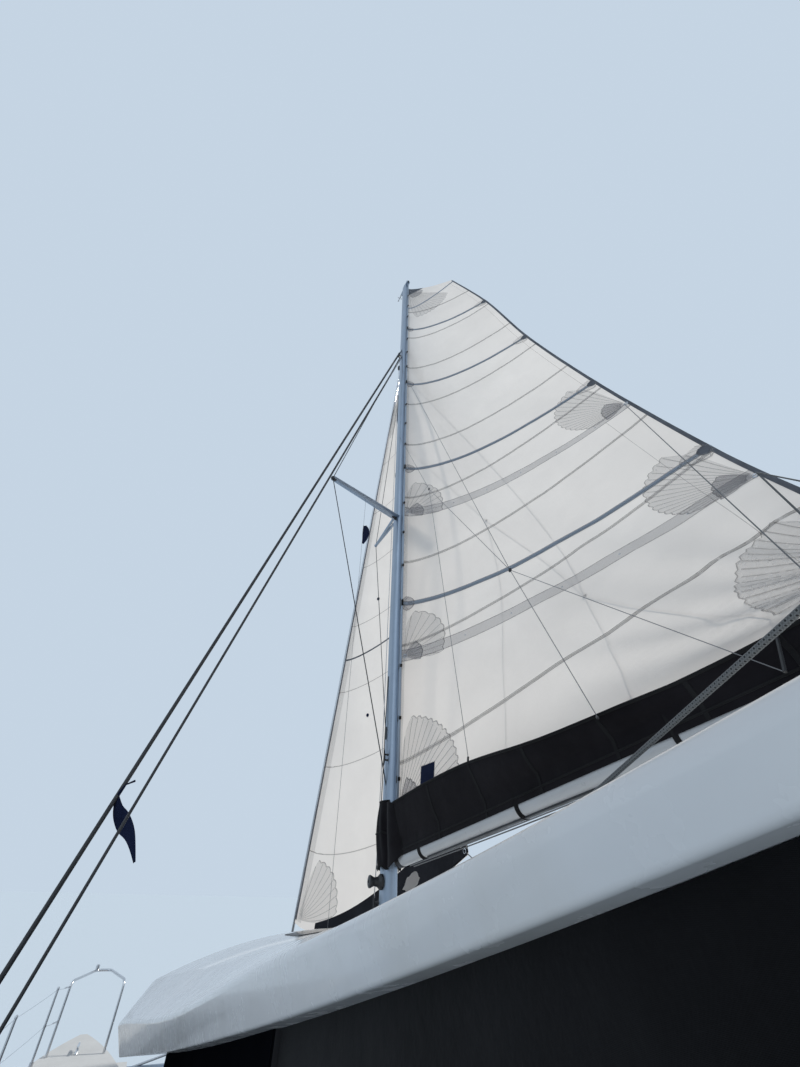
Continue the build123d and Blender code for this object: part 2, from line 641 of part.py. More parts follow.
# Gooseneck and boom
EAR_Z = (3350, 3530)
GAP_Z = (3405, 3475)
PIN_R = 14
gooseneck = box((BOOM_AXIS_X, MAST_X), (-40, 40), EAR_Z)
gooseneck += Pos(BOOM_AXIS_X, 0, (EAR_Z[0] + EAR_Z[1]) / 2) * Cylinder(40, EAR_Z[1] - EAR_Z[0])
gooseneck -= mast
gap = box((BOOM_AXIS_X - 100, BOOM_AXIS_X + 42), (-60, 60), GAP_Z)
gooseneck -= gap
gooseneck += Pos(BOOM_AXIS_X, 0, (EAR_Z[0] + EAR_Z[1]) / 2) * Cylinder(PIN_R, EAR_Z[1] - EAR_Z[0])
save("gooseneck", gooseneck.solid())

swing = math.radians(BOOM_SWING)
rise = math.radians(BOOM_RISE)
boom_dir = Vector(-math.cos(swing) * math.cos(rise), -math.sin(swing) * math.cos(rise), math.sin(rise))
boom_side = Vector(math.sin(swing), -math.cos(swing), 0)
boom_up = boom_side.cross(boom_dir) * -1
BOOM_ROOT = Vector(BOOM_AXIS_X, 0, BOOM_Z)


def on_boom(along, side, up):
    """Point on the boom: along it, out to port, and square to its top."""
    return BOOM_ROOT + boom_dir * along - boom_side * side + boom_up * up


boom_plane = Plane(origin=on_boom(65, 0, 0), x_dir=boom_up, z_dir=boom_dir)
boom = boom_plane * extrude(SlotOverall(*BOOM_SECTION), BOOM_LENGTH - 65)
tongue = box((0, 160), (-30, 30), (GAP_Z[0] + FIT, GAP_Z[1] - FIT))
tongue = Pos(BOOM_AXIS_X, 0, 0) * Rot(0, 0, 180 + BOOM_SWING) * tongue
tongue += Pos(BOOM_AXIS_X, 0, (GAP_Z[0] + GAP_Z[1]) / 2) * Cylinder(30, GAP_Z[1] - GAP_Z[0] - 2 * FIT)
boom += tongue
boom -= Pos(BOOM_AXIS_X, 0, BOOM_Z) * Cylinder(PIN_R + RUNNING, 400)
save("boom", boom.solid())

# Sail bag: one wall on each side of the boom; distance along, top height, lean to port and starboard
BAG = [(260, 370, 150, 170), (1570, 330, 180, 300), (2840, 190, 150, 360), (3600, 125, 105, 350),
       (4450, 115, 95, 268)]
BAG_T = 14


def bag_wall(side):
    faces = []
    half = BOOM_SECTION[1] / 2
    for along, top, lean_port, lean_starboard in BAG:
        lean = lean_port if side > 0 else lean_starboard
        p = [(half, -40), (half + BAG_T, -40), (half + BAG_T, 5), (lean + BAG_T, top), (lean, top),
             (half, 25)]
        v = [on_boom(along, side * y, z) for y, z in p]
        faces.append(Face(Wire(Polyline(*v, close=True).edges())))
    return loft(faces, ruled=True)


save("sail_bag", bag_wall(1).solid(), bag_wall(-1).solid())

COLLAR_Z = (3460, 3860)
collar = SlotOverall(320, 240) - SlotOverall(MAST_SECTION[0] + 1, MAST_SECTION[1] + 1)
collar = Pos(MAST_X, 0, COLLAR_Z[0]) * extrude(collar, COLLAR_Z[1] - COLLAR_Z[0])
collar -= box((0, 812), (-300, 300), (3000, 4500))
save("bag_collar", collar.solid())

# Mainsail: luff height, then the leech corner x, y, z, and camber and droop as shares of the chord
SAIL = [
    (3660, -3710, -330, 4210, 0.030, 0.012),
    (4900, -3320, -1000, 5100, 0.045, 0),
    (6180, -2839, -1501, 6327, 0.085, 0),
    (8910, -1972, -1817, 8904, 0.095, 0),
    (11600, -1232, -1680, 11489, 0.090, 0),
    (14020, -719, -1365, 13837, 0.075, 0),
    (16400, -80, -950, 16100, 0.045, 0),
]
DEEPEST = 0.38


def sail_section(luff, leech, camber, thickness, droop=0):
    """Crescent of cloth from luff to leech, bellied to starboard."""
    chord = leech - luff
    out = Vector(-chord.Y, chord.X, 0).normalized()
    if out.Y > 0:
        out = out * -1
    belly = out * camber + Vector(0, 0, -droop)
    middle = luff + chord * DEEPEST + belly * chord.length
    t = belly.normalized() * thickness
    return Face(Wire([ThreePointArc(luff, middle, leech), Line(leech, leech + t),
                      ThreePointArc(leech + t, middle + t, luff + t), Line(luff + t, luff)]))


mainsail = loft([
    sail_section(at(BOOM_AXIS_X - 4, 4, luff_z), at(x, y, z), camber, SAIL_T, droop)
    for luff_z, x, y, z, camber, droop in SAIL
])
luff_rope = rod((BOOM_AXIS_X, 0, SAIL[0][0]), (BOOM_AXIS_X, 0, SAIL[-1][0]), LUFF_R)
mainsail = (mainsail + luff_rope).solid()
save("mainsail", mainsail)

# Jib: distance up the stay, then the leech x, y, z and camber
JIB = [
    (1000, 1500, -1020, 3350, 0.06),
    (4500, 1450, -900, 6800, 0.08),
    (8000, 1300, -420, 10100, 0.05),
    (10300, 1345, -60, 12150, 0.02),
]
jib_faces = []
for up, x, y, z, camber in JIB:
    luff = on_stay(up) + Vector(-FOIL_R - FIT, -2, 0)
    jib_faces.append(sail_section(luff, at(x, y, z), camber, SAIL_T))
jib = loft(jib_faces).solid() - forestay
save("jib", jib.solid())
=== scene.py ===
import json
import math

import bmesh
import bpy
from mathutils import Matrix, Vector, noise
from mathutils.bvhtree import BVHTree


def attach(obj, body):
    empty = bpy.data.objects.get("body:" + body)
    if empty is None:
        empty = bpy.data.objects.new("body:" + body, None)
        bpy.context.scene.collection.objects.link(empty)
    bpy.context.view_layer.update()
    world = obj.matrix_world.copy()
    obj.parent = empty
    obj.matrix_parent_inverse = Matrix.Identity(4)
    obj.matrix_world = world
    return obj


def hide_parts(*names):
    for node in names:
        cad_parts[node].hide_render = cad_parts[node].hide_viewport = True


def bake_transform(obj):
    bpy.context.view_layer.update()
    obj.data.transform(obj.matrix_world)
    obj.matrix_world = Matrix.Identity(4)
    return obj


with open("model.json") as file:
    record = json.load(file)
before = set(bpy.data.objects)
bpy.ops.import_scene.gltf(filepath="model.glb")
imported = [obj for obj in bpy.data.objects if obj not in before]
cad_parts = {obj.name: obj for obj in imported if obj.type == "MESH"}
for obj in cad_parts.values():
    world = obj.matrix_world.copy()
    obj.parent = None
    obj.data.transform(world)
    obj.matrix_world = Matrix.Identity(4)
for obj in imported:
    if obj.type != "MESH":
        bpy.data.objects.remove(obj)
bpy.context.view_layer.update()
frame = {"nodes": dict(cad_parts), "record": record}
NODES = frame["nodes"]
SLOT_OF = {row["node"]: row["material_slot"] for row in frame["record"]["subparts"]}
BODIES = frame["record"]["behaviour"]["bodies"]
BODY_OF = {node: body for body, members in BODIES.items() for node in members}

# Cruising catamaran afloat, metres: +X forward, +Y port, +Z up, water at z = 0.

# Camera, on the port side deck
EYE = Vector((-4.078, 2.093, 3.11))
LOOK_YAW = math.radians(24.0)
LOOK_PITCH = math.radians(38.86)
HEEL = math.radians(1.27)
FOCAL_PIXELS = 440
PHOTO_TALL = 1067
SENSOR = 36.0

# Rig
MAST_X = 0.9
LUFF_X = 0.74
GOOSENECK = Vector((0.74, 0.0, 3.44))
BOOM_YAW = math.radians(4.5)
BOOM_RISE = math.radians(7.5)
BOOM_LENGTH = 4.75
BOOM_HALF = 0.065
BOOM_TALL = 0.10
SHROUD_FORE = (Vector((-0.19, 3.0, 1.5)), Vector((0.87, 0.05, 13.26)))
SHROUD_AFT = (Vector((-0.71, 2.8, 1.5)), Vector((0.87, 0.05, 12.96)))
UP = Vector((0, 0, 1))
DOWN = Vector((0, 0, -1))


# Mesh building
def circle(n, first=0.0):
    """Angles of n even steps round a full turn, the first one put on by a share of a step."""
    return [2 * math.pi * (k + first) / n for k in range(n)]


def spread(a, b, n):
    """Even places from a to b, n steps apart."""
    return [a + (b - a) * k / n for k in range(n + 1)]


class Shape:
    """Vertices, faces and their material numbers gathered for one joined mesh."""

    def __init__(self):
        self.verts = []
        self.faces = []
        self.slots = []
        self.uvs = []

    def add(self, verts, faces, slot=0, uvs=None):
        start = len(self.verts)
        self.verts.extend(Vector(v) for v in verts)
        for i, face in enumerate(faces):
            self.faces.append([start + k for k in face])
            self.slots.append(slot)
            self.uvs.append(uvs[i] if uvs else [(0.0, 0.0)] * len(face))

    def grid(self, rows, slot=0, around=False, caps=False, uv=None):
        """Sheet through rows of points; around joins each row's end to its start."""
        n, m = len(rows), len(rows[0])
        verts = [p for row in rows for p in row]
        faces, uvs = [], []
        for i in range(n - 1):
            for j in range(m if around else m - 1):
                k = (j + 1) % m
                face = [i * m + j, i * m + k, (i + 1) * m + k, (i + 1) * m + j]
                mark = [(i, j), (i, j + 1), (i + 1, j + 1), (i + 1, j)]
                if uv:
                    mark = [(a * uv[0], b * uv[1]) for a, b in mark]
                faces.append(face)
                uvs.append(mark)
        if caps:
            faces.append(list(range(m))[::-1])
            faces.append([(n - 1) * m + j for j in range(m)])
            uvs += [[(0, 0)] * m, [(0, 0)] * m]
        self.add(verts, faces, slot, uvs)

    def tube(self, points, radius, sides=10, slot=0, caps=True, section=None):
        """Bar along points; radius may be a list, section a list of (across, up) shares."""
        points = [Vector(p) for p in points]
        frames = carry_frames(points)
        rows = []
        ring = section or [(math.cos(t), math.sin(t)) for t in circle(sides)]
        for i, (p, (side, up)) in enumerate(zip(points, frames)):
            r = radius[i] if isinstance(radius, (list, tuple)) else radius
            rows.append([p + side * (a * r) + up * (b * r) for a, b in ring])
        lengths = [0.0]
        for a, b in zip(points, points[1:]):
            lengths.append(lengths[-1] + (b - a).length)
        step = lengths[-1] / max(1, len(points) - 1)
        self.grid(rows, slot, around=True, caps=caps, uv=(step, 1 / len(ring)))

    def box(self, low, high, bevel, slot=0):
        """Block between two corners, with rounded edges."""
        bm = bmesh.new()
        bmesh.ops.create_cube(bm, size=1.0)
        size = [high[i] - low[i] for i in range(3)]
        mid = [(high[i] + low[i]) / 2 for i in range(3)]
        for v in bm.verts:
            v.co = Vector(v.co[i] * size[i] for i in range(3))
        bmesh.ops.bevel(bm, geom=list(bm.edges), offset=bevel, segments=2, affect="EDGES", profile=0.5)
        for v in bm.verts:
            v.co += Vector(mid)
        bm.verts.index_update()
        self.add([v.co.copy() for v in bm.verts], [[v.index for v in f.verts] for f in bm.faces], slot)
        bm.free()

    def lathe(self, profile, origin, axis, sides=24, slot=0):
        """Turned form: profile is (radius, distance along the axis)."""
        origin, axis = Vector(origin), Vector(axis).normalized()
        side = axis.orthogonal().normalized()
        up = axis.cross(side)
        rows = [[origin + axis * d + (side * math.cos(t) + up * math.sin(t)) * max(r, 1e-4)
                 for t in circle(sides)] for r, d in profile]
        self.grid(rows, slot, around=True, caps=True)

    def prism(self, outline, normal, depth, slot=0):
        """Flat outline of 3-D points pushed along normal."""
        n = len(outline)
        push = Vector(normal) * depth
        verts = [Vector(p) for p in outline] + [Vector(p) + push for p in outline]
        faces = [list(range(n))[::-1], [n + k for k in range(n)]]
        faces += [[k, (k + 1) % n, n + (k + 1) % n, n + k] for k in range(n)]
        self.add(verts, faces, slot)

    def make(self, name, materials, body="root", slot=None, replaces=(), smooth=40, merge=False):
        mesh = bpy.data.meshes.new(name)
        mesh.from_pydata(self.verts, [], self.faces)
        if not isinstance(materials, (list, tuple)):
            materials = [materials]
        for m in materials:
            mesh.materials.append(m)
        layer = mesh.uv_layers.new(name="uv")
        flat = [c for face in self.uvs for uv in face for c in uv]
        layer.data.foreach_set("uv", flat)
        mesh.polygons.foreach_set("material_index", self.slots)
        bm = bmesh.new()
        bm.from_mesh(mesh)
        if merge:
            bmesh.ops.remove_doubles(bm, verts=bm.verts, dist=merge)
        bmesh.ops.recalc_face_normals(bm, faces=bm.faces)
        limit = math.radians(smooth)
        for face in bm.faces:
            face.smooth = True
        for edge in bm.edges:
            if len(edge.link_faces) == 2 and edge.calc_face_angle(0) > limit:
                edge.smooth = False
        bm.to_mesh(mesh)
        bm.free()
        obj = bpy.data.objects.new(name, mesh)
        bpy.context.scene.collection.objects.link(obj)
        if replaces:
            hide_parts(*replaces)
        if body:
            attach(obj, body)
        return obj


def carry_frames(points):
    """A side and an up direction at each point, carried along without twist."""
    frames = []
    side = None
    for i in range(len(points)):
        way = points[min(i + 1, len(points) - 1)] - points[max(i - 1, 0)]
        way = way.normalized() if way.length > 1e-9 else UP.copy()
        if side is None:
            side = way.cross(UP)
            if side.length < 1e-3:
                side = Vector((0, 1, 0))
        side = (side - way * side.dot(way)).normalized()
        frames.append((side, way.cross(side)))
    return frames


def smooth_line(points, steps=8):
    """Catmull-Rom curve through points."""
    points = [Vector(p) for p in points]
    out = []
    for i in range(len(points) - 1):
        a = points[max(i - 1, 0)]
        b, c = points[i], points[i + 1]
        d = points[min(i + 2, len(points) - 1)]
        for k in range(steps):
            t = k / steps
            out.append(0.5 * ((2 * b) + (c - a) * t + (2 * a - 5 * b + 4 * c - d) * t * t
                              + (3 * b - a - 3 * c + d) * t ** 3))
    out.append(points[-1])
    return out


def straight(a, b, steps):
    a, b = Vector(a), Vector(b)
    return [a.lerp(b, k / steps) for k in range(steps + 1)]


def to_side(p, side):
    return Vector((p.x, p.y * side, p.z))


# Materials
def base_material(name, colour, rough, metal=0.0, coat=0.0, coat_rough=0.1):
    mat = bpy.data.materials.new(name)
    mat.use_nodes = True
    shader = mat.node_tree.nodes["Principled BSDF"]
    shader.inputs["Base Color"].default_value = (*colour, 1)
    shader.inputs["Roughness"].default_value = rough
    shader.inputs["Metallic"].default_value = metal
    shader.inputs["Coat Weight"].default_value = coat
    shader.inputs["Coat Roughness"].default_value = coat_rough
    shader.inputs["IOR"].default_value = 1.5
    mat.diffuse_color = (*colour, 1)
    return mat


class Nodes:
    """Short calls for a material's node tree."""

    def __init__(self, mat):
        self.tree = mat.node_tree
        self.shader = self.tree.nodes["Principled BSDF"]
        self.coords = self.tree.nodes.new("ShaderNodeTexCoord")

    def new(self, kind, **inputs):
        node = self.tree.nodes.new(kind)
        for key, value in inputs.items():
            self.feed(node.inputs[key.replace("_", " ")], value)
        return node

    def feed(self, socket, value):
        if isinstance(value, bpy.types.NodeSocket):
            self.tree.links.new(value, socket)
        else:
            socket.default_value = value

    def place(self, scale=(1, 1, 1)):
        node = self.new("ShaderNodeMapping", Scale=scale)
        self.tree.links.new(self.coords.outputs["Object"], node.inputs["Vector"])
        return node.outputs["Vector"]

    def noise(self, scale, where=None, detail=4.0, rough=0.55, stretch=0.0):
        node = self.new("ShaderNodeTexNoise", Scale=scale, Detail=detail, Roughness=rough,
                        Distortion=stretch)
        self.tree.links.new(where or self.place(), node.inputs["Vector"])
        return node.outputs["Fac"]

    def wave(self, scale, where, direction):
        node = self.new("ShaderNodeTexWave", Scale=scale, Distortion=0.0)
        node.wave_type = "BANDS"
        node.bands_direction = direction
        self.tree.links.new(where, node.inputs["Vector"])
        return node.outputs["Fac"]

    def ramp(self, value, stops):
        node = self.tree.nodes.new("ShaderNodeValToRGB")
        for k, (place, colour) in enumerate(stops):
            stop = node.color_ramp.elements[k] if k < 2 else node.color_ramp.elements.new(place)
            stop.position = place
            stop.color = (*colour, 1)
        self.tree.links.new(value, node.inputs["Fac"])
        return node.outputs["Color"]

    def math(self, how, a, b):
        node = self.tree.nodes.new("ShaderNodeMath")
        node.operation = how
        self.feed(node.inputs[0], a)
        self.feed(node.inputs[1], b)
        return node.outputs[0]

    def bump(self, height, strength, distance, under=None):
        node = self.new("ShaderNodeBump", Strength=strength, Distance=distance)
        self.tree.links.new(height, node.inputs["Height"])
        if under:
            self.tree.links.new(under, node.inputs["Normal"])
        return node.outputs["Normal"]

    def to(self, socket, value):
        self.feed(self.shader.inputs[socket], value)


def shade(colour, k):
    return tuple(min(1.0, c * k) for c in colour)


def varied(name, colour, rough, spread=0.06, scale=3.0, rough_spread=0.08, bump=0.0, bump_scale=60.0,
           bump_depth=0.0005, **more):
    """Finish with patchy colour and roughness, and a fine surface grain."""
    mat = base_material(name, colour, rough, **more)
    n = Nodes(mat)
    patch = n.noise(scale, detail=6.0)
    n.to("Base Color", n.ramp(patch, [(0.3, shade(colour, 1 - spread)), (0.7, shade(colour, 1 + spread))]))
    low, high = max(0.02, rough - rough_spread), rough + rough_spread
    n.to("Roughness", n.ramp(n.noise(scale * 5), [(0.3, (low,) * 3), (0.7, (high,) * 3)]))
    if bump:
        n.to("Normal", n.bump(n.noise(bump_scale, detail=3.0), bump, bump_depth))
    return mat


def gelcoat_material():
    """Moulded white gelcoat: glossy, faintly wavy, with thin grime in its patches."""
    colour = (0.80, 0.82, 0.835)
    mat = base_material("gelcoat", colour, 0.24, coat=0.5, coat_rough=0.08)
    n = Nodes(mat)
    drift = n.noise(0.7, detail=8.0, rough=0.6)
    streak = n.noise(1.6, n.place((1, 1, 0.12)), detail=7.0, rough=0.65)
    tint = n.new("ShaderNodeMix")
    tint.data_type = "RGBA"
    tint.blend_type = "MULTIPLY"
    n.feed(tint.inputs[0], 1.0)
    n.feed(tint.inputs[6], n.ramp(drift, [(0.3, (0.775, 0.80, 0.82)), (0.72, (0.83, 0.845, 0.85))]))
    n.feed(tint.inputs[7], n.ramp(streak, [(0.30, (0.93, 0.92, 0.90)), (0.55, (1, 1, 1))]))
    n.to("Base Color", tint.outputs[2])
    n.to("Roughness", n.ramp(n.noise(9.0), [(0.3, (0.17,) * 3), (0.75, (0.34,) * 3)]))
    wave = n.bump(n.noise(2.2, detail=1.0), 0.10, 0.01)
    n.to("Normal", n.bump(n.noise(260.0, detail=2.0), 0.04, 0.0004, wave))
    return mat


def sail_material(name, colour, through, tint):
    """Woven cloth that lets light through: crinkle, a fine weave, and soft stains."""
    mat = base_material(name, colour, 0.62)
    n = Nodes(mat)
    n.to("Specular IOR Level", 0.25)
    patch = n.noise(0.9, detail=8.0, rough=0.6)
    n.to("Base Color", n.ramp(patch, [(0.28, shade(colour, 0.94)), (0.72, shade(colour, 1.03))]))
    warp = n.wave(160.0, n.place(), direction="Z")
    weft = n.wave(160.0, n.place(), direction="X")
    weave = n.math("ADD", warp, weft)
    folds = n.noise(5.0, n.place((1.0, 1.0, 0.55)), detail=6.0, rough=0.62, stretch=0.6)
    crinkle = n.bump(folds, 0.35, 0.012)
    fine = n.bump(n.noise(38.0, detail=4.0, rough=0.6), 0.25, 0.002, crinkle)
    normal = n.bump(weave, 0.12, 0.0003, fine)
    n.to("Normal", normal)
    glow = n.new("ShaderNodeBsdfTranslucent", Normal=normal)
    n.feed(glow.inputs["Color"], n.ramp(patch, [(0.28, shade(tint, 0.93)), (0.72, shade(tint, 1.04))]))
    mix = n.new("ShaderNodeMixShader", Fac=through)
    n.tree.links.new(n.shader.outputs[0], mix.inputs[1])
    n.tree.links.new(glow.outputs[0], mix.inputs[2])
    out = n.tree.nodes["Material Output"]
    n.tree.links.new(mix.outputs[0], out.inputs["Surface"])
    return mat


def film_material(name, colour, cover):
    """Sewn layer thin enough to let the lit sail under it show through; its grey colour is painted shade for
    the light that the extra cloth holds back.
    """
    mat = base_material(name, colour, 0.7)
    n = Nodes(mat)
    n.to("Specular IOR Level", 0.15)
    n.to("Alpha", cover)
    patch = n.noise(2.0, detail=6.0, rough=0.6)
    n.to("Base Color", n.ramp(patch, [(0.3, shade(colour, 0.92)), (0.7, shade(colour, 1.06))]))
    n.to("Normal", n.bump(n.noise(30.0, detail=4.0, rough=0.6), 0.25, 0.002))
    return mat


def canvas_material(name, colour):
    """Dull woven canvas, worn paler in patches."""
    mat = base_material(name, colour, 0.85)
    n = Nodes(mat)
    n.to("Specular IOR Level", 0.08)
    n.to("Sheen Weight", 0.06)
    n.to("Sheen Roughness", 0.5)
    worn = n.noise(2.5, detail=7.0, rough=0.62)
    faded = tuple(c * 1.4 + 0.004 for c in colour)
    n.to("Base Color", n.ramp(worn, [(0.3, shade(colour, 0.75)), (0.75, faded)]))
    a = n.wave(190.0, n.place(), direction="X")
    b = n.wave(190.0, n.place(), direction="Z")
    soft = n.bump(n.noise(7.0, detail=5.0, rough=0.6), 0.5, 0.012)
    n.to("Normal", n.bump(n.math("ADD", a, b), 0.35, 0.0005, soft))
    return mat


def metal_material(name, colour, rough, grain=(1, 1, 0.03), grain_scale=90.0, metal=1.0):
    """Metal with a drawn grain along one way and hand-worn patches."""
    mat = base_material(name, colour, rough, metal=metal)
    n = Nodes(mat)
    worn = n.noise(1.5, detail=6.0)
    n.to("Base Color", n.ramp(worn, [(0.3, shade(colour, 0.9)), (0.7, shade(colour, 1.05))]))
    lines = n.noise(grain_scale, n.place(grain), detail=2.0)
    n.to("Roughness", n.ramp(lines, [(0.3, (rough - 0.07,) * 3), (0.7, (rough + 0.10,) * 3)]))
    n.to("Normal", n.bump(lines, 0.08, 0.0004))
    return mat


def rope_material(name, colour, fleck, share, along=70.0):
    """Braid: two sets of slanting strands, a few of them in the fleck colour."""
    mat = base_material(name, colour, 0.75)
    n = Nodes(mat)
    cross = []
    for lean in (1, -1):
        mapping = n.new("ShaderNodeMapping", Scale=(along, 3.0, 1.0))
        split = n.new("ShaderNodeSeparateXYZ")
        n.tree.links.new(n.coords.outputs["UV"], mapping.inputs["Vector"])
        n.tree.links.new(mapping.outputs["Vector"], split.inputs["Vector"])
        slant = n.math("ADD", split.outputs["X"], n.math("MULTIPLY", split.outputs["Y"], float(lean)))
        cross.append(n.math("PINGPONG", slant, 0.5))
    strands = n.math("ADD", cross[0], cross[1])
    both = n.math("MULTIPLY", cross[0], cross[1])
    flecks_from = share * 0.35
    n.to("Base Color", n.ramp(both, [(0.0, shade(colour, 0.5)), (0.03, colour), (flecks_from, colour),
                                     (flecks_from + 0.02, fleck)]))
    n.to("Normal", n.bump(strands, 0.6, 0.0012))
    return mat


def dulled(mat, level):
    """The same finish with less mirror in it."""
    mat.node_tree.nodes["Principled BSDF"].inputs["Specular IOR Level"].default_value = level
    return mat


WHITE = gelcoat_material()
SAIL = sail_material("sailcloth", (0.82, 0.775, 0.735), 0.50, (0.88, 0.82, 0.765))
# The grey of the patches, reef bands, seams and stitching is painted shade: the extra layers of cloth hold
# back the light that comes through the sail. The inner patch layers are painted darker still, for more
# layers.
PATCH = film_material("sail_patch", (0.56, 0.55, 0.545), 0.17)
BAND = film_material("reef_band", (0.48, 0.48, 0.50), 0.26)
POCKET = sail_material("batten_pocket", (0.36, 0.41, 0.48), 0.18, (0.42, 0.47, 0.54))
SEAM = film_material("sail_seam", (0.34, 0.32, 0.30), 0.38)
DEEPER_SHADE_PATCH = film_material("sail_patch_deeper_shade", (0.34, 0.34, 0.37), 0.30)
STITCH = film_material("sail_stitch", (0.26, 0.24, 0.22), 0.55)
TAPE = canvas_material("leech_tape", (0.13, 0.14, 0.16))
BAG = canvas_material("bag_canvas", (0.0075, 0.0065, 0.0085))
SHADE_STRIP = canvas_material("jib_shade_strip", (0.014, 0.015, 0.020))
WEBBING = canvas_material("black_webbing", (0.012, 0.012, 0.013))
# Near-black screen canvas: the screen is a real part, but its depth of black is painted shade for the deep
# shadow under the hardtop.
SHADE_SCREEN = canvas_material("screen_mesh_shade", (0.005, 0.005, 0.006))
# Alloy colour: the metal's own grey, darkened and tinted blue as painted shade and a painted reflection of
# the sky.
ALLOY = metal_material("mast_alloy", (0.31, 0.37, 0.45), 0.34, metal=0.9)
STEEL = metal_material("stainless", (0.60, 0.61, 0.63), 0.20)
WIRE = varied("rigging_wire", (0.030, 0.031, 0.034), 0.5, spread=0.2, bump=0.2, bump_scale=500.0)
BLACK = varied("black_plastic", (0.018, 0.018, 0.02), 0.42, spread=0.3, bump=0.15, bump_scale=300.0)
GREY = varied("grey_plastic", (0.33, 0.345, 0.36), 0.45, spread=0.08, bump=0.15, bump_scale=300.0)
SMOKED = (0.004, 0.0045, 0.006)
GLASS = dulled(varied("dark_acrylic", SMOKED, 0.12, spread=0.2, rough_spread=0.03), 0.16)
SIDE_GLASS = dulled(varied("side_acrylic", SMOKED, 0.3, spread=0.2, rough_spread=0.03), 0.0)
ANTIFOUL = varied("bottom_paint", (0.045, 0.075, 0.14), 0.78, spread=0.22, scale=1.8, bump=0.4,
                  bump_scale=90.0, bump_depth=0.0012)
BRONZE = metal_material("bronze", (0.52, 0.36, 0.16), 0.34, (1, 1, 1), 30.0)
ROPE = rope_material("sheet_rope", (0.16, 0.17, 0.175), (0.012, 0.013, 0.015), share=0.30)
LINE = rope_material("thin_line", (0.20, 0.205, 0.215), (0.55, 0.55, 0.55), share=0.5, along=160.0)
WHITE_LINE = rope_material("white_line", (0.66, 0.66, 0.64), (0.10, 0.16, 0.36), share=0.36, along=120.0)
NAVY = canvas_material("navy_cloth", (0.008, 0.014, 0.042))
LINING = varied("moulded_lining", (0.42, 0.425, 0.43), 0.55, spread=0.05, bump=0.1, bump_scale=120.0)
BOOM_PAINT = varied("boom_paint", (0.50, 0.52, 0.54), 0.34, spread=0.05, coat=0.3, bump=0.08,
                    bump_scale=200.0)
NAVY_STRIPE = varied("boot_stripe", (0.02, 0.04, 0.12), 0.3, spread=0.1, coat=0.3)
NONSKID = varied("nonskid_deck", (0.60, 0.62, 0.63), 0.8, spread=0.05, bump=0.5, bump_scale=420.0,
                 bump_depth=0.0008)
CUSHION = canvas_material("cushion_cloth", (0.20, 0.215, 0.235))
PIPING = canvas_material("cushion_piping", (0.50, 0.51, 0.52))
WOOD = varied("teak_trim", (0.30, 0.15, 0.065), 0.5, spread=0.25, scale=9.0, bump=0.2, bump_scale=80.0)
NET = canvas_material("net_cord", (0.62, 0.63, 0.62))


# Roof, metres: x, half width at the crease, inset and height of the rim, crease height,
# ridge's half width and height, crown height
ROOF_ROWS = [
    (-4.45, 1.55, 0.030, 3.336, 3.420, 1.13, 3.450, 3.47),
    (-3.20, 1.59, 0.040, 3.044, 3.160, 1.20, 3.225, 3.28),
    (-1.60, 1.65, 0.055, 2.704, 2.864, 1.27, 3.002, 3.085),
    (0.40, 1.77, 0.070, 2.309, 2.460, 1.36, 2.725, 2.88),
    (2.45, 1.96, 0.085, 1.931, 2.148, 1.68, 2.440, 2.795),
    (2.85, 2.00, 0.090, 1.857, 2.070, 1.78, 2.370, 2.73),
    (3.10, 1.95, 0.095, 1.815, 2.020, 1.73, 2.260, 2.59),
    (3.25, 1.80, 0.100, 1.790, 1.975, 1.56, 2.100, 2.37),
    (3.33, 1.50, 0.100, 1.775, 1.930, 1.20, 1.980, 2.10),
]
ROOF_ENDS = (-4.45, 3.33)
ROOF_INSIDE = 1.45
ROOF_SHELL = 0.05
ROOF_SPACES = ((-4.39, -1.65), (-1.55, 2.55))


def roof_row(x):
    return [column_at(ROOF_ROWS, x, c) for c in range(1, 8)]


def roof_top(x, y):
    """Height of the roof's upper face."""
    half, _, _, crease, ridge_y, ridge, crown = roof_row(x)
    y = abs(y)
    if y <= ridge_y:
        return crown - (crown - ridge) * (y / ridge_y) ** 2
    return ridge + (crease - ridge) * (y - ridge_y) / (half - ridge_y)


def round_path(points, radii):
    """Polyline of (across, up) points with an arc of the given radius at each inner corner."""
    out = [Vector(points[0])]
    for i in range(1, len(points) - 1):
        a, b, c = Vector(points[i - 1]), Vector(points[i]), Vector(points[i + 1])
        way_in, way_out = (a - b).normalized(), (c - b).normalized()
        half = way_in.angle(way_out) / 2
        reach = min(radii[i - 1] / math.tan(half), (a - b).length * 0.45, (c - b).length * 0.45)
        radius = reach * math.tan(half)
        centre = b + (way_in + way_out).normalized() * (radius / math.sin(half))
        start, end = b + way_in * reach - centre, b + way_out * reach - centre
        for k in range(6):
            out.append(centre + start.lerp(end, k / 5).normalized() * radius)
    out.append(Vector(points[-1]))
    return out


def roof_profile(x, inset=0.0):
    """Half section from the inside edge of the soffit, over the fascia, to the crown."""
    half, lip, rim, crease, ridge_y, ridge, crown = roof_row(x)
    rise = crown - ridge
    radius = (ridge_y ** 2 + rise ** 2) / (2 * rise)
    sweep = math.asin(min(1.0, ridge_y / radius))
    turns = [sweep * (1 - k / 14) for k in range(15)]
    arc = [(radius * math.sin(t), crown - radius + radius * math.cos(t)) for t in turns]
    corners = [(ROOF_INSIDE, rim), (half - lip, rim), (half, crease)] + arc[:2]
    path = round_path(corners, [0.016, 0.030, 0.070]) + [Vector(p) for p in arc[2:]]
    if inset:
        moved = []
        for i, p in enumerate(path):
            way = path[min(i + 1, len(path) - 1)] - path[max(i - 1, 0)]
            normal = Vector((-way.y, way.x)).normalized()
            moved.append(p + normal * inset)
        path = moved
        path[-1].x = 0
    return path


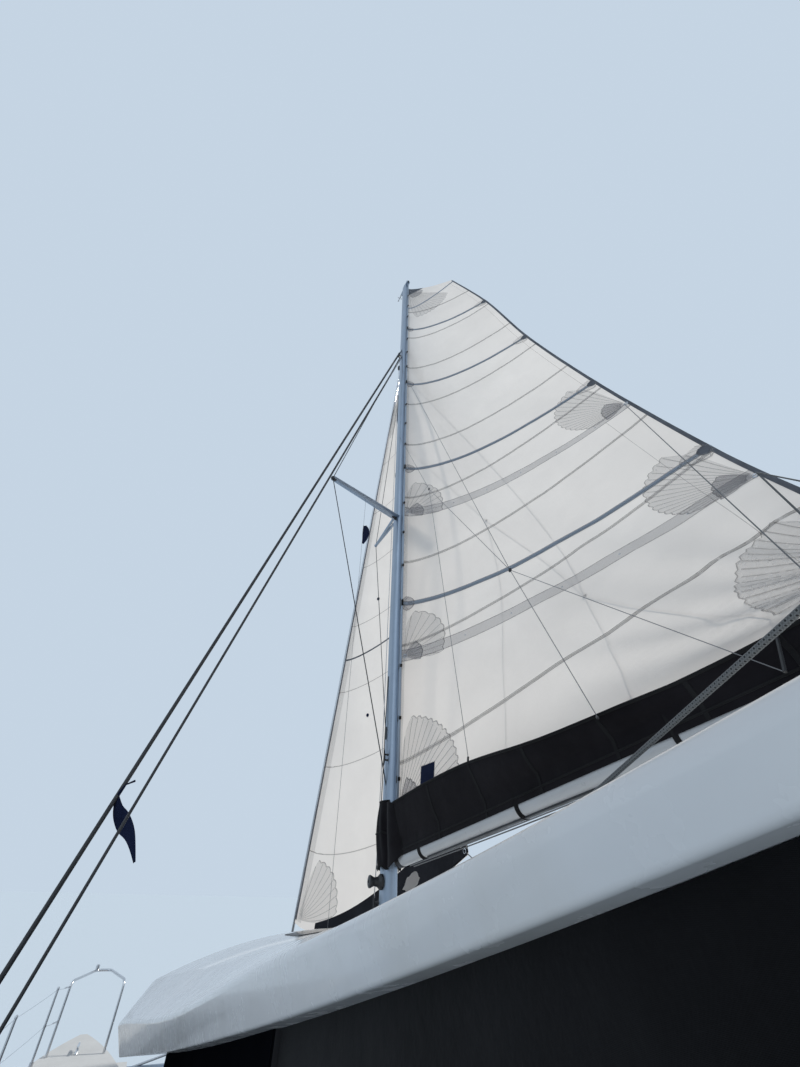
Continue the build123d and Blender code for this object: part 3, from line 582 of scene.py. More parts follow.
def roof_line(x, inset=0.0, place=None):
    """Whole section at x, port to starboard, shrunk by inset and moved to place."""
    half = [Vector((place or x, p.x, p.y)) for p in roof_profile(x, inset)]
    return half + [Vector((p.x, -p.y, p.z)) for p in half[-2::-1]]


def roof_underside(shape):
    """Flat rims between the hollows, then the lined hollows over the cockpit and the saloon."""
    walls = sorted(ROOF_ENDS + ROOF_SPACES[0] + ROOF_SPACES[1])
    for x0, x1 in zip(walls[::2], walls[1::2]):
        shape.grid([[Vector((x, y, roof_row(x)[2])) for y in (ROOF_INSIDE, 0, -ROOF_INSIDE)]
                    for x in spread(x0, x1, 6)])
    for x0, x1 in ROOF_SPACES:
        rows = []
        for x in spread(x0, x1, 24):
            low = roof_row(x)[2]
            flank = [(ROOF_INSIDE, low), (ROOF_INSIDE, roof_top(x, ROOF_INSIDE) - ROOF_SHELL - 0.05)]
            flank += [(y, roof_top(x, y) - ROOF_SHELL) for y in (1.40, 1.2, 0.9, 0.6, 0.3, 0)]
            left = [Vector((x, y, z)) for y, z in flank]
            rows.append(left + [Vector((p.x, -p.y, p.z)) for p in left[-2::-1]])
        shape.grid(rows, 1)
        for row in (rows[0], rows[-1]):
            shape.add(row, [list(range(len(row)))], 1)


def make_roof():
    """Hardtop and coachroof in one moulding, with the step that the mast stands on."""
    shape = Shape()
    aft = ROOF_ENDS[0]
    lines = [roof_line(aft, 0.020), roof_line(aft, 0.008, aft + 0.002), roof_line(aft, 0.002, aft + 0.008)]
    stops = [aft + 0.02 + 0.12 * k for k in range(58)] + [2.62, 2.72, 2.80]
    stops += [2.80 + 0.5 * math.sin(math.pi / 2 * k / 16) for k in range(1, 16)]
    for x in stops:
        lines.append(roof_line(x))
    for inset, x in ((0.002, 3.312), (0.008, 3.322), (0.020, 3.330)):
        lines.append(roof_line(3.31, inset, x))
    shape.grid(lines, 0)
    for line in (lines[0], lines[-1]):
        shape.add(line, [list(range(len(line)))], 0)
    roof_underside(shape)
    step = [(0.19, 2.56), (0.19, 2.885), (0.185, 2.897), (0.17, 2.90), (0.0, 2.90)]
    shape.lathe(step, (MAST_X, 0, 0), UP, 40)
    shape.make("roof_moulding", [WHITE, LINING], "root", "gelcoat", ["roof"], smooth=32, merge=1e-5)


def copy_mesh(node, name, materials, cuts=(), bevel=0.0, smooth=35, slot_of=None):
    """A node's own surface with rounded edges, cut at heights, its finish chosen by slot_of."""
    source = NODES[node]
    bm = bmesh.new()
    bm.from_mesh(source.data)
    bmesh.ops.remove_doubles(bm, verts=bm.verts, dist=2e-5)
    bmesh.ops.dissolve_limit(bm, angle_limit=math.radians(0.6), verts=bm.verts, edges=bm.edges)
    for z in cuts:
        bmesh.ops.bisect_plane(bm, geom=bm.verts[:] + bm.edges[:] + bm.faces[:], plane_co=(0, 0, z),
                               plane_no=UP, dist=1e-5)
    mesh = bpy.data.meshes.new(name)
    for m in materials:
        mesh.materials.append(m)
    for face in bm.faces:
        face.smooth = True
        if slot_of:
            face.material_index = slot_of(face.calc_center_median(), face.normal)
    for edge in bm.edges:
        if len(edge.link_faces) == 2 and edge.calc_face_angle(0) > math.radians(smooth):
            edge.smooth = False
    bm.to_mesh(mesh)
    bm.free()
    obj = bpy.data.objects.new(name, mesh)
    bpy.context.scene.collection.objects.link(obj)
    if bevel:
        mod = obj.modifiers.new("edges", "BEVEL")
        mod.width = bevel
        mod.segments = 2
        mod.limit_method = "ANGLE"
        mod.angle_limit = math.radians(30)
        mod.harden_normals = True
        mod.use_clamp_overlap = True
    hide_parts(node)
    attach(obj, BODY_OF[node])


# Sails
# Mainsail rows, metres: luff height, leech x, y, z, then camber and droop as shares of the chord
MAIN_ROWS = [
    (3.66, -3.71, -0.33, 4.21, 0.030, 0.012),
    (4.90, -3.32, -1.00, 5.10, 0.045, 0),
    (6.18, -2.839, -1.501, 6.327, 0.085, 0),
    (8.91, -1.972, -1.817, 8.904, 0.095, 0),
    (11.60, -1.232, -1.68, 11.489, 0.090, 0),
    (14.02, -0.719, -1.365, 13.837, 0.075, 0),
    (16.40, -0.08, -0.95, 16.10, 0.045, 0),
]
# Jib rows: distance up the stay, leech x, y, z, camber and droop
JIB_ROWS = [
    (1.0, 1.12, -1.05, 3.47, 0.055, 0.075),
    (4.5, 1.45, -0.90, 6.80, 0.08, 0),
    (8.0, 1.30, -0.42, 10.10, 0.05, 0),
    (10.3, 1.345, -0.06, 12.15, 0.02, 0),
]
STAY_FOOT = Vector((4.75, 0, 1.815))
STAY_TOP = Vector((1.0, 0, 12.8))
STAY_WAY = (STAY_TOP - STAY_FOOT).normalized()
DEEPEST = 0.38
# Jib clew eye: distance up the stay, and in from the leech
CLEW_W = 1.06
CLEW_INSIDE = 0.06
# Seams of the mainsail: height on the luff, and how much higher they meet the leech
SEAMS = [(4.20, 0.60), (5.56, 0.56), (6.873, 0.52), (8.19, 0.48), (9.56, 0.28), (10.85, 0.28),
         (12.24, 0.24), (13.60, 0.20), (14.95, 0.15)]
BATTENS = (6.18, 8.91, 11.60, 14.02)
# Reef bands: middle on the luff, rise to the leech, half width at the luff and at the leech
REEF_BANDS = [(5.425, 0.08, 0.080, 0.075), (7.885, -0.04, 0.095, 0.055)]
REEF_EYES = [(5.46, 5.42), (7.90, 7.88)]


def column_at(rows, key, col):
    """Cubic through one column of a table, with the slopes of its neighbours."""
    i = 0
    while i < len(rows) - 2 and key > rows[i + 1][0]:
        i += 1

    def slope(k):
        a, b = rows[max(k - 1, 0)], rows[min(k + 1, len(rows) - 1)]
        return (b[col] - a[col]) / (b[0] - a[0])

    a, b = rows[i], rows[i + 1]
    gap = b[0] - a[0]
    t = (key - a[0]) / gap
    h = (2 * t ** 3 - 3 * t * t + 1, t ** 3 - 2 * t * t + t, -2 * t ** 3 + 3 * t * t, t ** 3 - t * t)
    return h[0] * a[col] + h[1] * gap * slope(i) + h[2] * b[col] + h[3] * gap * slope(i + 1)


class Cloth:
    """A sail's surface: rows are found by their place up the luff, u runs from luff to leech."""

    def __init__(self, rows, luff, relief):
        self.rows = rows
        self.luff = luff
        self.relief = relief
        self.low = rows[0][0]
        self.high = rows[-1][0]

    def leech(self, w):
        return Vector(column_at(self.rows, w, c) for c in (1, 2, 3))

    def chord(self, w):
        return (self.leech(w) - self.luff(w)).length

    def smooth_point(self, w, u):
        foot, end = self.luff(w), self.leech(w)
        chord = end - foot
        out = Vector((-chord.y, chord.x, 0)).normalized()
        if out.y > 0:
            out.negate()
        belly = out * column_at(self.rows, w, 4) - Vector((0, 0, column_at(self.rows, w, 5)))
        t = max(u, 0.0) ** (math.log(0.5) / math.log(DEEPEST))
        return foot + chord * u + belly * (chord.length * 4 * t * (1 - t))

    def normal(self, w, u):
        """Towards port and aft."""
        step = 0.01
        along = self.smooth_point(w, min(u + step, 1)) - self.smooth_point(w, max(u - step, 0))
        up = self.smooth_point(min(w + step, self.high), u) - self.smooth_point(max(w - step, self.low), u)
        normal = along.cross(up).normalized()
        return normal if normal.y > 0 else -normal

    def point(self, w, u, lift=0.0):
        n = self.normal(w, u)
        return self.smooth_point(w, u) + n * (self.relief(self, w, u) + lift)

    def stretch(self, w, u):
        """Metres of cloth for each metre of luff, at this place."""
        step = 0.05
        a = self.smooth_point(max(w - step, self.low), u)
        b = self.smooth_point(min(w + step, self.high), u)
        return max(0.2, (b - a).length / (min(w + step, self.high) - max(w - step, self.low)))


def main_luff(w):
    return Vector((LUFF_X - 0.004, 0.004, w))


def jib_luff(w):
    return STAY_FOOT + STAY_WAY * w + Vector((-0.0203, -0.002, 0))


def main_relief(cloth, w, u):
    """Crinkles, puckers beside the luff and seams, and folds that run out of the clew."""
    chord = cloth.chord(w)
    x, z = u * chord, w
    edge = min(1.0, x / 0.05)
    small = noise.fractal(Vector((x * 1.7, 4.0, z * 1.1)), 0.8, 2.1, 4) * 0.007
    pucker = 0.005 * math.sin(2 * math.pi * z / 0.62) * math.exp(-x / 0.22)
    seam = min(abs(z - low - rise * u) for low, rise in SEAMS)
    ruck = 0.0035 * noise.noise(Vector((x * 7.0, 1.0, z * 2.0))) * math.exp(-seam / 0.07)
    to_clew = Vector((chord * (1 - u), (w - cloth.low) * 1.15))
    reach = to_clew.length
    turn = math.atan2(to_clew.y, to_clew.x)
    fold = 0.020 * math.sin(turn * 19 + 2.5 * noise.noise(Vector((reach * 0.6, 2.0, turn * 2))))
    fold *= math.exp(-reach / 1.9) * min(1.0, reach / 0.35) * min(1.0, (w - cloth.low) / 0.12)
    batten = min(abs(z - s) for s in BATTENS)
    hard = 0.006 * math.exp(-(batten / 0.12) ** 2)
    return (small + pucker + ruck + fold + hard) * edge


def jib_relief(cloth, w, u):
    chord = cloth.chord(w)
    x = u * chord
    small = noise.fractal(Vector((x * 1.6, 9.0, w * 0.9)), 0.8, 2.1, 4) * 0.006
    to_clew = Vector((chord * (1 - u), w - cloth.low))
    reach = to_clew.length
    turn = math.atan2(to_clew.y, to_clew.x)
    fold = 0.012 * math.sin(turn * 13) * math.exp(-reach / 1.2) * min(1.0, reach / 0.3)
    return (small + fold) * min(1.0, x / 0.05)


MAIN = Cloth(MAIN_ROWS, main_luff, main_relief)
JIB = Cloth(JIB_ROWS, jib_luff, jib_relief)


def sail_sheet(cloth, across, up):
    """The sail's own sheet, in even steps along and up."""
    shape = Shape()
    rows = []
    for w in spread(cloth.low, cloth.high, up):
        rows.append([cloth.point(w, u) for u in spread(0, 1, across)])
    shape.grid(rows, uv=(1.0, 1.0))
    return shape


def band(shape, cloth, middle, half, lift, steps=48, slot=0):
    """Raised strip along the sail: middle is its place up the luff, half its half width in metres."""
    for side in (1, -1):
        rows = []
        for u in spread(0, 1, steps):
            w = middle(u) if callable(middle) else middle
            wide = half(u) if callable(half) else half
            d = wide / cloth.stretch(w, u)
            lo, hi = max(w - d, cloth.low), min(w + d, cloth.high)
            rows.append([cloth.point(lo, u), cloth.point(lo + d * 0.2, u, side * lift),
                         cloth.point(hi - d * 0.2, u, side * lift), cloth.point(hi, u)])
        shape.grid(rows, slot)


def sloping(low, rise):
    return lambda u: low + rise * u


def edge_tape(shape, cloth, u_edge, width, lift, w0, w1, steps=60, slot=0):
    """Folded tape along the luff or the leech."""
    for side in (1, -1):
        rows = []
        for w in spread(w0, w1, steps):
            d = width / cloth.chord(w)
            a, b = (u_edge, u_edge + d) if u_edge < 0.5 else (u_edge - d, u_edge)
            rows.append([cloth.point(w, u, side * lift * share) for u, share in
                         ((a, 0.4), (a + d * 0.15, 1), (b - d * 0.15, 1), (b, 0.4))])
        shape.grid(rows, slot)


def fan_patch(shape, cloth, eye, inward, angles, reach, ribs, lift=0.003, slots=(0, 1)):
    """Shell of stacked cloth spread from an eye, with ribs of stitching.

    eye is (place up the luff, metres from the luff or, with inward -1, from the leech).
    angles run from level, up positive; reach is (at level, upright).
    """
    w0, x0 = eye
    first, last = (math.radians(a) for a in angles)

    def place(r, turn, side, rise):
        w = min(max(w0 + r * math.sin(turn) / cloth.stretch(w0, 0.5), cloth.low), cloth.high)
        share = (x0 + r * math.cos(turn)) / cloth.chord(w)
        u = share if inward > 0 else 1 - share
        return cloth.point(w, min(max(u, 0.0), 1.0), side * rise)

    def reach_at(turn):
        k = (turn - first) / (last - first)
        scallop = 1 - 0.035 * (1 - abs(math.sin(math.pi * k * (ribs - 1))))
        corner = min(1.0, (min(k, 1 - k) + 0.02) / 0.10) ** 0.35
        return (reach[0] + (reach[1] - reach[0]) * abs(math.sin(turn)) ** 1.2) * scallop * corner

    turns = spread(first, last, 48)
    for side in (1, -1):
        rows = []
        for share in spread(0, 1, 10):
            rows.append([place(0.012 + (reach_at(t) - 0.012) * share, t, side, lift * (1 - 0.8 * share ** 10))
                         for t in turns])
        shape.grid(rows, slots[0])
        for k in range(ribs):
            turn = first + (last - first) * (k + 0.5) / ribs
            longest = reach_at(turn) * 0.97
            strip = []
            for share in spread(0, 1, 8):
                r = 0.06 + (longest - 0.06) * share
                half = 0.0022 + 0.0020 * share
                strip.append([place(r, turn + lean * half / r, side, lift + rise)
                              for lean, rise in ((-1, 0.0004), (0, 0.0016), (1, 0.0004))])
            shape.grid(strip, slots[1])
        hem = [place(reach_at(t), t, side, lift * 0.6) for t in turns]
        inner = [place(reach_at(t) - 0.012, t, side, lift + 0.0012) for t in turns]
        shape.grid([hem, inner], slots[1])


def ring(shape, cloth, w, u, radius):
    """Pressed steel eye through the cloth."""
    centre, n = cloth.point(w, u), cloth.normal(w, u)
    side = n.orthogonal().normalized()
    up = n.cross(side)
    loop = [centre + (side * math.cos(t) + up * math.sin(t)) * radius for t in spread(0, 2 * math.pi, 20)]
    shape.tube(loop, radius * 0.34, 8, caps=False)


def mainsail_seams():
    """Seams with their stitching, and the two reef bands with theirs."""
    trims = Shape()
    for low, rise in SEAMS:
        band(trims, MAIN, sloping(low, rise), 0.010, 0.0016, slot=0)
        band(trims, MAIN, sloping(low + 0.017, rise), 0.0018, 0.0022, slot=2)
        band(trims, MAIN, sloping(low - 0.017, rise), 0.0018, 0.0022, slot=2)
    for low, rise, at_luff, at_leech in REEF_BANDS:
        band(trims, MAIN, sloping(low, rise), lambda u, a=at_luff, b=at_leech: a + (b - a) * u, 0.0018,
             slot=1)
        for edge in (1, -1):
            band(trims, MAIN, lambda u: low + rise * u + edge * (at_luff + (at_leech - at_luff) * u - 0.006),
                 0.004, 0.0026, slot=0)
    return trims.make("mainsail_seams", [SEAM, BAND, STITCH], "boom", "sailcloth")


def batten_pockets():
    pockets = Shape()
    for w in BATTENS:
        band(pockets, MAIN, w, 0.030, 0.0025, slot=0)
        band(pockets, MAIN, w, 0.014, 0.010, slot=0)
        for offset in (-0.030, 0.030):
            band(pockets, MAIN, sloping(w + offset, 0), 0.005, 0.0035, slot=1)
    band(pockets, MAIN, sloping(15.15, 1.12), 0.022, 0.007, slot=0)
    return pockets.make("batten_pockets", [POCKET, SEAM], "boom", "sailcloth")


def sail_patches():
    """Shells at the reef eyes and corners and at the battens' ends."""
    patches = Shape()
    for (leech_w, luff_w), high in zip(REEF_EYES, (1.18, 1.28)):
        fan_patch(patches, MAIN, (leech_w, 0.05), -1, (-6, 84), (0.50, high), 17)
        # Inner layers, slot 2, take the deeper painted shade of more stacked cloth.
        fan_patch(patches, MAIN, (leech_w, 0.05), -1, (-20, 70), (0.28, 0.34), 7, 0.006, slots=(2, 1))
        fan_patch(patches, MAIN, (luff_w, 0.03), 1, (-16, 88), (0.56, 0.70), 9)
        fan_patch(patches, MAIN, (luff_w, 0.03), 1, (-30, 60), (0.26, 0.24), 5, 0.006, slots=(2, 1))
    fan_patch(patches, MAIN, (3.72, 0.05), -1, (4, 84), (0.52, 1.08), 19)
    fan_patch(patches, MAIN, (3.72, 0.05), -1, (8, 70), (0.30, 0.42), 7, 0.006, slots=(2, 1))
    fan_patch(patches, MAIN, (3.70, 0.03), 1, (8, 88), (0.95, 0.95), 15)
    fan_patch(patches, MAIN, (3.70, 0.03), 1, (10, 80), (0.36, 0.36), 7, 0.006, slots=(2, 1))
    fan_patch(patches, MAIN, (16.30, 0.03), 1, (-88, -28), (1.0, 1.62), 15)
    fan_patch(patches, MAIN, (16.30, 0.03), 1, (-84, 0), (0.40, 0.46), 7, 0.006, slots=(2, 1))
    for w in BATTENS:
        fan_patch(patches, MAIN, (w, 0.0), 1, (-80, 80), (0.16, 0.12), 3, 0.012, slots=(2, 1))
        fan_patch(patches, MAIN, (w, 0.0), -1, (-75, 75), (0.30, 0.14), 5, 0.012, slots=(0, 1))
        fan_patch(patches, MAIN, (w, 0.0), -1, (-60, 60), (0.13, 0.09), 2, 0.014, slots=(3, 3))
    return patches.make("sail_patches", [PATCH, SEAM, DEEPER_SHADE_PATCH, TAPE], "boom", "sailcloth")


def sail_edge_tapes():
    """Leech and luff tapes, leech lines, and the head's dark corner."""
    tapes = Shape()
    edge_tape(tapes, MAIN, 1.0, 0.040, 0.0035, 3.7, 16.35, 150, 0)
    edge_tape(tapes, MAIN, 0.0, 0.055, 0.0035, 3.75, 16.3, 140, 1)
    for inside, low, high in ((0.14, 8.95, 16.2), (0.36, 4.7, 7.80), (0.36, 3.8, 4.6)):
        rows = [[MAIN.point(w, 1 - (inside + x) / MAIN.chord(w), z)
                 for x, z in ((0, 0), (0.003, 0.003), (0.006, 0))]
                for w in spread(low, high, 60)]
        tapes.grid(rows, 2)
    for side in (1, -1):
        rows = []
        for w in spread(16.02, 16.39, 5):
            wide = 0.42 * (w - 16.02) / 0.36 + 0.01
            rows.append([MAIN.point(w, x / MAIN.chord(w), side * 0.006) for x in spread(0, wide, 5)])
        tapes.grid(rows, 0)
    return tapes.make("sail_edge_tapes", [TAPE, PATCH, SEAM], "boom", "sailcloth")


def sail_eyes():
    eyes = Shape()
    for leech_w, luff_w in REEF_EYES:
        ring(eyes, MAIN, leech_w, 1 - 0.05 / MAIN.chord(leech_w), 0.022)
        ring(eyes, MAIN, luff_w, 0.05 / MAIN.chord(luff_w), 0.020)
    ring(eyes, MAIN, 3.76, 0.05 / MAIN.chord(3.8), 0.020)
    ring(eyes, MAIN, 3.73, 1 - 0.05 / MAIN.chord(3.74), 0.024)
    for low, rise, *_ in REEF_BANDS:
        for u in (0.22, 0.38, 0.54, 0.70, 0.86):
            ring(eyes, MAIN, low + rise * u, u, 0.008)
    return eyes.make("sail_eyes", STEEL, "boom", "stainless")


def blank_sail_label():
    """Bare navy rectangle with a sewn edge, low on both faces."""
    label = Shape()
    for side in (1, -1):
        for margin, lift, slot in ((0.0, 0.0045, 1), (0.008, 0.0052, 0)):
            rows = []
            for w in spread(3.93 + margin, 4.12 - margin, 4):
                rows.append([MAIN.point(w, x / MAIN.chord(w), side * lift)
                             for x in spread(0.34 + margin, 0.56 - margin, 3)])
            label.grid(rows, slot)
    return label.make("blank_sail_label", [NAVY, PATCH], "boom", "sailcloth")


def luff_cars():
    """Cars that ride the mast's track, taller where a batten ends."""
    cars = Shape()
    w = 4.05
    while w < 16.3:
        near = min(abs(w - b) for b in BATTENS)
        tall = 0.035
        if near < 0.31:
            w = min(BATTENS, key=lambda b: abs(w - b))
            tall = 0.085
        cars.box((0.711, -0.016, w - tall), (0.7435, 0.016, w + tall), 0.006, 0)
        cars.box((0.682, -0.011, w - tall * 0.5), (0.716, 0.011, w + tall * 0.5), 0.004, 1)
        w += 0.62
    return cars.make("luff_cars", [BLACK, WEBBING], "boom", "sailcloth")


def make_mainsail():
    sheet = sail_sheet(MAIN, 72, 230)
    sail = sheet.make("mainsail_cloth", SAIL, "boom", "sailcloth", ["mainsail"], merge=1e-5)
    pieces = [mainsail_seams(), batten_pockets(), sail_patches(), sail_edge_tapes(), sail_eyes(),
              blank_sail_label(), luff_cars()]


def shade_strip(trims):
    """Dark strip along the leech and the foot, which covers the sail when it is rolled up."""
    for side in (1, -1):
        rows = []
        for w in spread(1.02, 10.22, 70):
            wide = 0.30 if w < 9.6 else 0.30 * (10.3 - w) / 0.7 + 0.02
            d = wide / JIB.chord(w)
            rows.append([JIB.point(w, 1 - d * x, side * z)
                         for x, z in ((0, 0.002), (0.1, 0.0032), (0.9, 0.0032), (1.0, 0.0))])
        trims.grid(rows, 3)
        rows = []
        for u in spread(0.10, 0.995, 36):
            tall = 0.10 + 0.40 * ((u - 0.10) / 0.9) ** 0.8
            d = tall / JIB.stretch(1.1, u)
            rows.append([JIB.point(1.005 + d * x, u, side * z)
                         for x, z in ((0, 0.002), (0.1, 0.0040), (0.9, 0.0040), (1.0, 0.0))])
        trims.grid(rows, 3)


def jib_trims():
    """Seams, luff tape, corner patches and the shade strip."""
    trims = Shape()
    for w in (1.9, 3.05, 4.2, 5.35, 6.5, 7.65, 8.8):
        band(trims, JIB, lambda u, w=w: w - 0.25 * u, 0.006, 0.0014, steps=24, slot=0)
    band(trims, JIB, lambda u: 4.75 - 0.2 * u, 0.014, 0.0022, steps=24, slot=1)
    edge_tape(trims, JIB, 0.0, 0.085, 0.0028, 1.05, 10.25, 70, 2)
    edge_tape(trims, JIB, 0.0, 0.014, 0.0040, 1.05, 10.25, 70, 1)
    fan_patch(trims, JIB, (10.2, 0.0), 1, (-86, -10), (0.3, 0.8), 9, slots=(2, 0))
    fan_patch(trims, JIB, (1.08, 0.03), 1, (4, 84), (0.75, 0.80), 9, slots=(2, 0))
    shade_strip(trims)
    return trims.make("jib_trims", [SEAM, TAPE, PATCH, SHADE_STRIP], "root", "sailcloth")


def jib_tell_tales():
    marks = Shape()
    for w in (3.6, 5.6):
        for side in (1, -1):
            centre = JIB.point(w, 0.28, side * 0.004)
            marks.lathe([(0.028, 0), (0.028, 0.002), (0.001, 0.003)], centre, JIB.normal(w, 0.28) * side, 12)
    return marks.make("jib_tell_tales", NAVY, "root", "sailcloth")


def jib_clew_eye():
    eye = Shape()
    ring(eye, JIB, CLEW_W, 1 - CLEW_INSIDE / JIB.chord(CLEW_W), 0.022)
    return eye.make("jib_clew_eye", STEEL, "root", "stainless")


def make_jib():
    sheet = sail_sheet(JIB, 40, 120)
    sail = sheet.make("jib_cloth", SAIL, "root", "sailcloth", ["jib"], merge=1e-5)
    pieces = [jib_trims(), jib_tell_tales(), jib_clew_eye()]


# Boom and its bag, in the boom's own frame
BOOM_WAY = Vector((-math.cos(BOOM_YAW) * math.cos(BOOM_RISE), -math.sin(BOOM_YAW) * math.cos(BOOM_RISE),
                   math.sin(BOOM_RISE)))
BOOM_PORT = Vector((-math.sin(BOOM_YAW), math.cos(BOOM_YAW), 0))
BOOM_UP = BOOM_PORT.cross(BOOM_WAY)


def on_boom(along, side, up):
    """Point along the boom, out to port (+) and square to its top."""
    return GOOSENECK + BOOM_WAY * along + BOOM_PORT * side + BOOM_UP * up


# Bag: distance along the boom, top height, lean to port and to starboard
BAG_ROWS = [(0.26, 0.34, 0.15, 0.17), (0.96, 0.325, 0.165, 0.23), (1.57, 0.28, 0.18, 0.30),
            (2.20, 0.205, 0.17, 0.33), (2.84, 0.145, 0.15, 0.36), (3.60, 0.118, 0.105, 0.35),
            (4.45, 0.115, 0.095, 0.268)]
BAG_SPAN = (0.26, 4.45)
BAG_HOLDS = (1.57, 2.84, 3.88)
BOOM_LOW = 0.15
SHEET_AT = 4.1


def oval_section(grow=0.0):
    """Ring of (across, up) places for the boom's upright section with rounded ends."""
    half = BOOM_HALF + grow
    ring_points = []
    for t in circle(32, 0.5):
        lift = BOOM_TALL - BOOM_HALF if math.sin(t) > 0 else BOOM_HALF - BOOM_LOW
        ring_points.append((half * math.cos(t), half * math.sin(t) + lift))
    return ring_points


def boom_bar(shape, along0, along1, section, slot):
    rows = [[on_boom(along, a, b) for a, b in section] for along in (along0, along1)]
    shape.grid(rows, slot, around=True, caps=True)


def make_boom():
    """Boom tube with its end caps, a rib on each side and the track under it."""
    shape = Shape()
    boom_bar(shape, 0.12, BOOM_LENGTH - 0.10, oval_section(), 0)
    boom_bar(shape, 0.085, 0.16, oval_section(0.004), 1)
    boom_bar(shape, BOOM_LENGTH - 0.14, BOOM_LENGTH - 0.012, oval_section(0.004), 1)
    boom_bar(shape, BOOM_LENGTH - 0.012, BOOM_LENGTH, oval_section(-0.012), 1)
    for side in (1, -1):
        rows = [[on_boom(a, side * (BOOM_HALF - 0.001), z) for z in (-0.030, -0.026, -0.022)]
                for a in (0.2, BOOM_LENGTH - 0.16)]
        for row in rows:
            row[1] = row[1] + BOOM_PORT * side * 0.004
        shape.grid(rows, 0)
    track = [(y, z - BOOM_LOW) for y, z in
             ((-0.018, 0.004), (-0.018, -0.010), (0.018, -0.010), (0.018, 0.004))]
    boom_bar(shape, 0.6, BOOM_LENGTH - 0.3, track, 1)
    shape.make("boom_tube", [BOOM_PAINT, BLACK], "boom", "mast_alloy", ["boom"], smooth=35)


def boom_fittings():
    """Sheaves in the boom's end, straps round it, and the bail for the sheet."""
    fittings = Shape()
    for side in (-0.036, -0.012, 0.012, 0.036):
        fittings.lathe([(0.034, -0.008), (0.040, -0.008), (0.036, 0.0), (0.040, 0.008), (0.034, 0.008)],
                       on_boom(BOOM_LENGTH + 0.004, side, 0.030), BOOM_PORT, 20, 0)
    for along in (0.55, 1.9, 3.2, 4.28):
        loop = oval_section(0.006)
        points = [on_boom(along, x, z) for x, z in loop + loop[:1]]
        fittings.tube(points, 0.010, slot=1, caps=False,
                      section=[(-1.6, -0.25), (1.6, -0.25), (1.6, 0.25), (-1.6, 0.25)])
    bail = smooth_line([on_boom(SHEET_AT, y, z) for y, z in
                        ((0.07, -0.04), (0.075, -0.15), (0.0, -0.205), (-0.075, -0.15), (-0.07, -0.04))], 6)
    fittings.tube(bail, 0.007, 8, 2)
    fittings.make("boom_fittings", [BLACK, WEBBING, STEEL], "boom", "mast_alloy")


def bag_edge(along):
    """Top height and the leans to port and starboard, with the sag between the lines that hold it."""
    row = [column_at(BAG_ROWS, along, c) for c in (1, 2, 3)]
    nearest = min(abs(along - h) for h in BAG_HOLDS)
    row[0] -= 0.006 * min(1.0, nearest / 0.5) ** 2
    return row


BAG_STEPS = 96
BAG_ROWS_UP = 14


def bag_side(side):
    """One wall of the bag, from the boom's flank up to its hem, as rows of points."""
    rows = []
    for along in spread(*BAG_SPAN, BAG_STEPS):
        top, lean_port, lean_starboard = bag_edge(along)
        lean = lean_port if side > 0 else lean_starboard
        row = []
        for t in spread(0, 1, BAG_ROWS_UP):
            if t < 0.18:
                y, z = BOOM_HALF + 0.008, -0.085 + 0.110 * t / 0.18
            else:
                s = (t - 0.18) / 0.82
                y = BOOM_HALF + 0.008 + (lean - BOOM_HALF) * (s + 0.10 * math.sin(math.pi * s))
                z = 0.025 + (top - 0.025) * s
            fold = noise.fractal(Vector((along * 2.2 + side * 7, t * 1.3, 3.0)), 0.9, 2.0, 4) * 0.016
            drape = 0.009 * math.sin(along * 6 + 2.2 * t + 1.5 * noise.noise(Vector((along, 0, side * 3))))
            ease = math.sin(math.pi * min(1.0, t * 1.1)) if t < 0.9 else 0.35
            push = (fold + drape * t) * ease * 0.75
            row.append(on_boom(along, side * (y + push), z))
        rows.append(row)
    return rows


def bag_straps(hems, rows, side):
    """Strips sewn up one wall of the bag."""
    for along in (0.9, 1.57, 2.2, 2.84, 3.4, 3.88, 4.3):
        i = round((along - BAG_SPAN[0]) / (BAG_SPAN[1] - BAG_SPAN[0]) * BAG_STEPS)
        strip = []
        for p, q in zip(rows[i], rows[i + 1]):
            out = BOOM_PORT * side * 0.0045
            way = (q - p).normalized()
            strip.append([p - way * 0.014, p - way * 0.012 + out, p + way * 0.012 + out, p + way * 0.014])
        hems.grid(strip, 0)


def make_bag():
    """Both walls of the sail bag with their hems and straps."""
    shape, hems = Shape(), Shape()
    for side in (1, -1):
        rows = bag_side(side)
        shape.grid(rows, 0)
        hems.tube([row[-1] for row in rows], 0.011, 8)
        for line in ([row[1] for row in rows], rows[0], rows[-1]):
            hems.tube(line, 0.007, 6)
        bag_straps(hems, rows, side)
    bag = shape.make("bag_cloth_walls", BAG, "boom", "bag_cloth", ["sail_bag"])
    trim = hems.make("bag_hems", WEBBING, "boom", "bag_cloth")


def make_collar():
    """Cloth wrapped round the mast ahead of the boom; gives back its rows of points."""
    shape = Shape()
    rows = []
    for t in spread(0, 1, 18):
        row = []
        for a in spread(-0.80 * math.pi, 0.80 * math.pi, 40):
            z = 3.325 + 0.535 * t - 0.030 * (1 - t) * math.sin(3 * a + 0.6) ** 2
            bulge = 0.020 * math.sin(math.pi * t) + 0.008 * math.sin(9 * a + 5 * t) * math.sin(math.pi * t)
            rx, ry = 0.150 + bulge, 0.108 + bulge
            row.append(Vector((MAST_X + rx * math.cos(a), ry * math.sin(a), z)))
        rows.append(row)
    shape.grid(rows, 0)
    collar = shape.make("collar_cloth", BAG, "root", "bag_cloth", ["bag_collar"])
    trim = Shape()
    for row in (rows[0], rows[-1], rows[9]):
        trim.tube(row, 0.008, 6, 0)
    trim = trim.make("collar_hems", WEBBING, "root", "bag_cloth")
    return rows


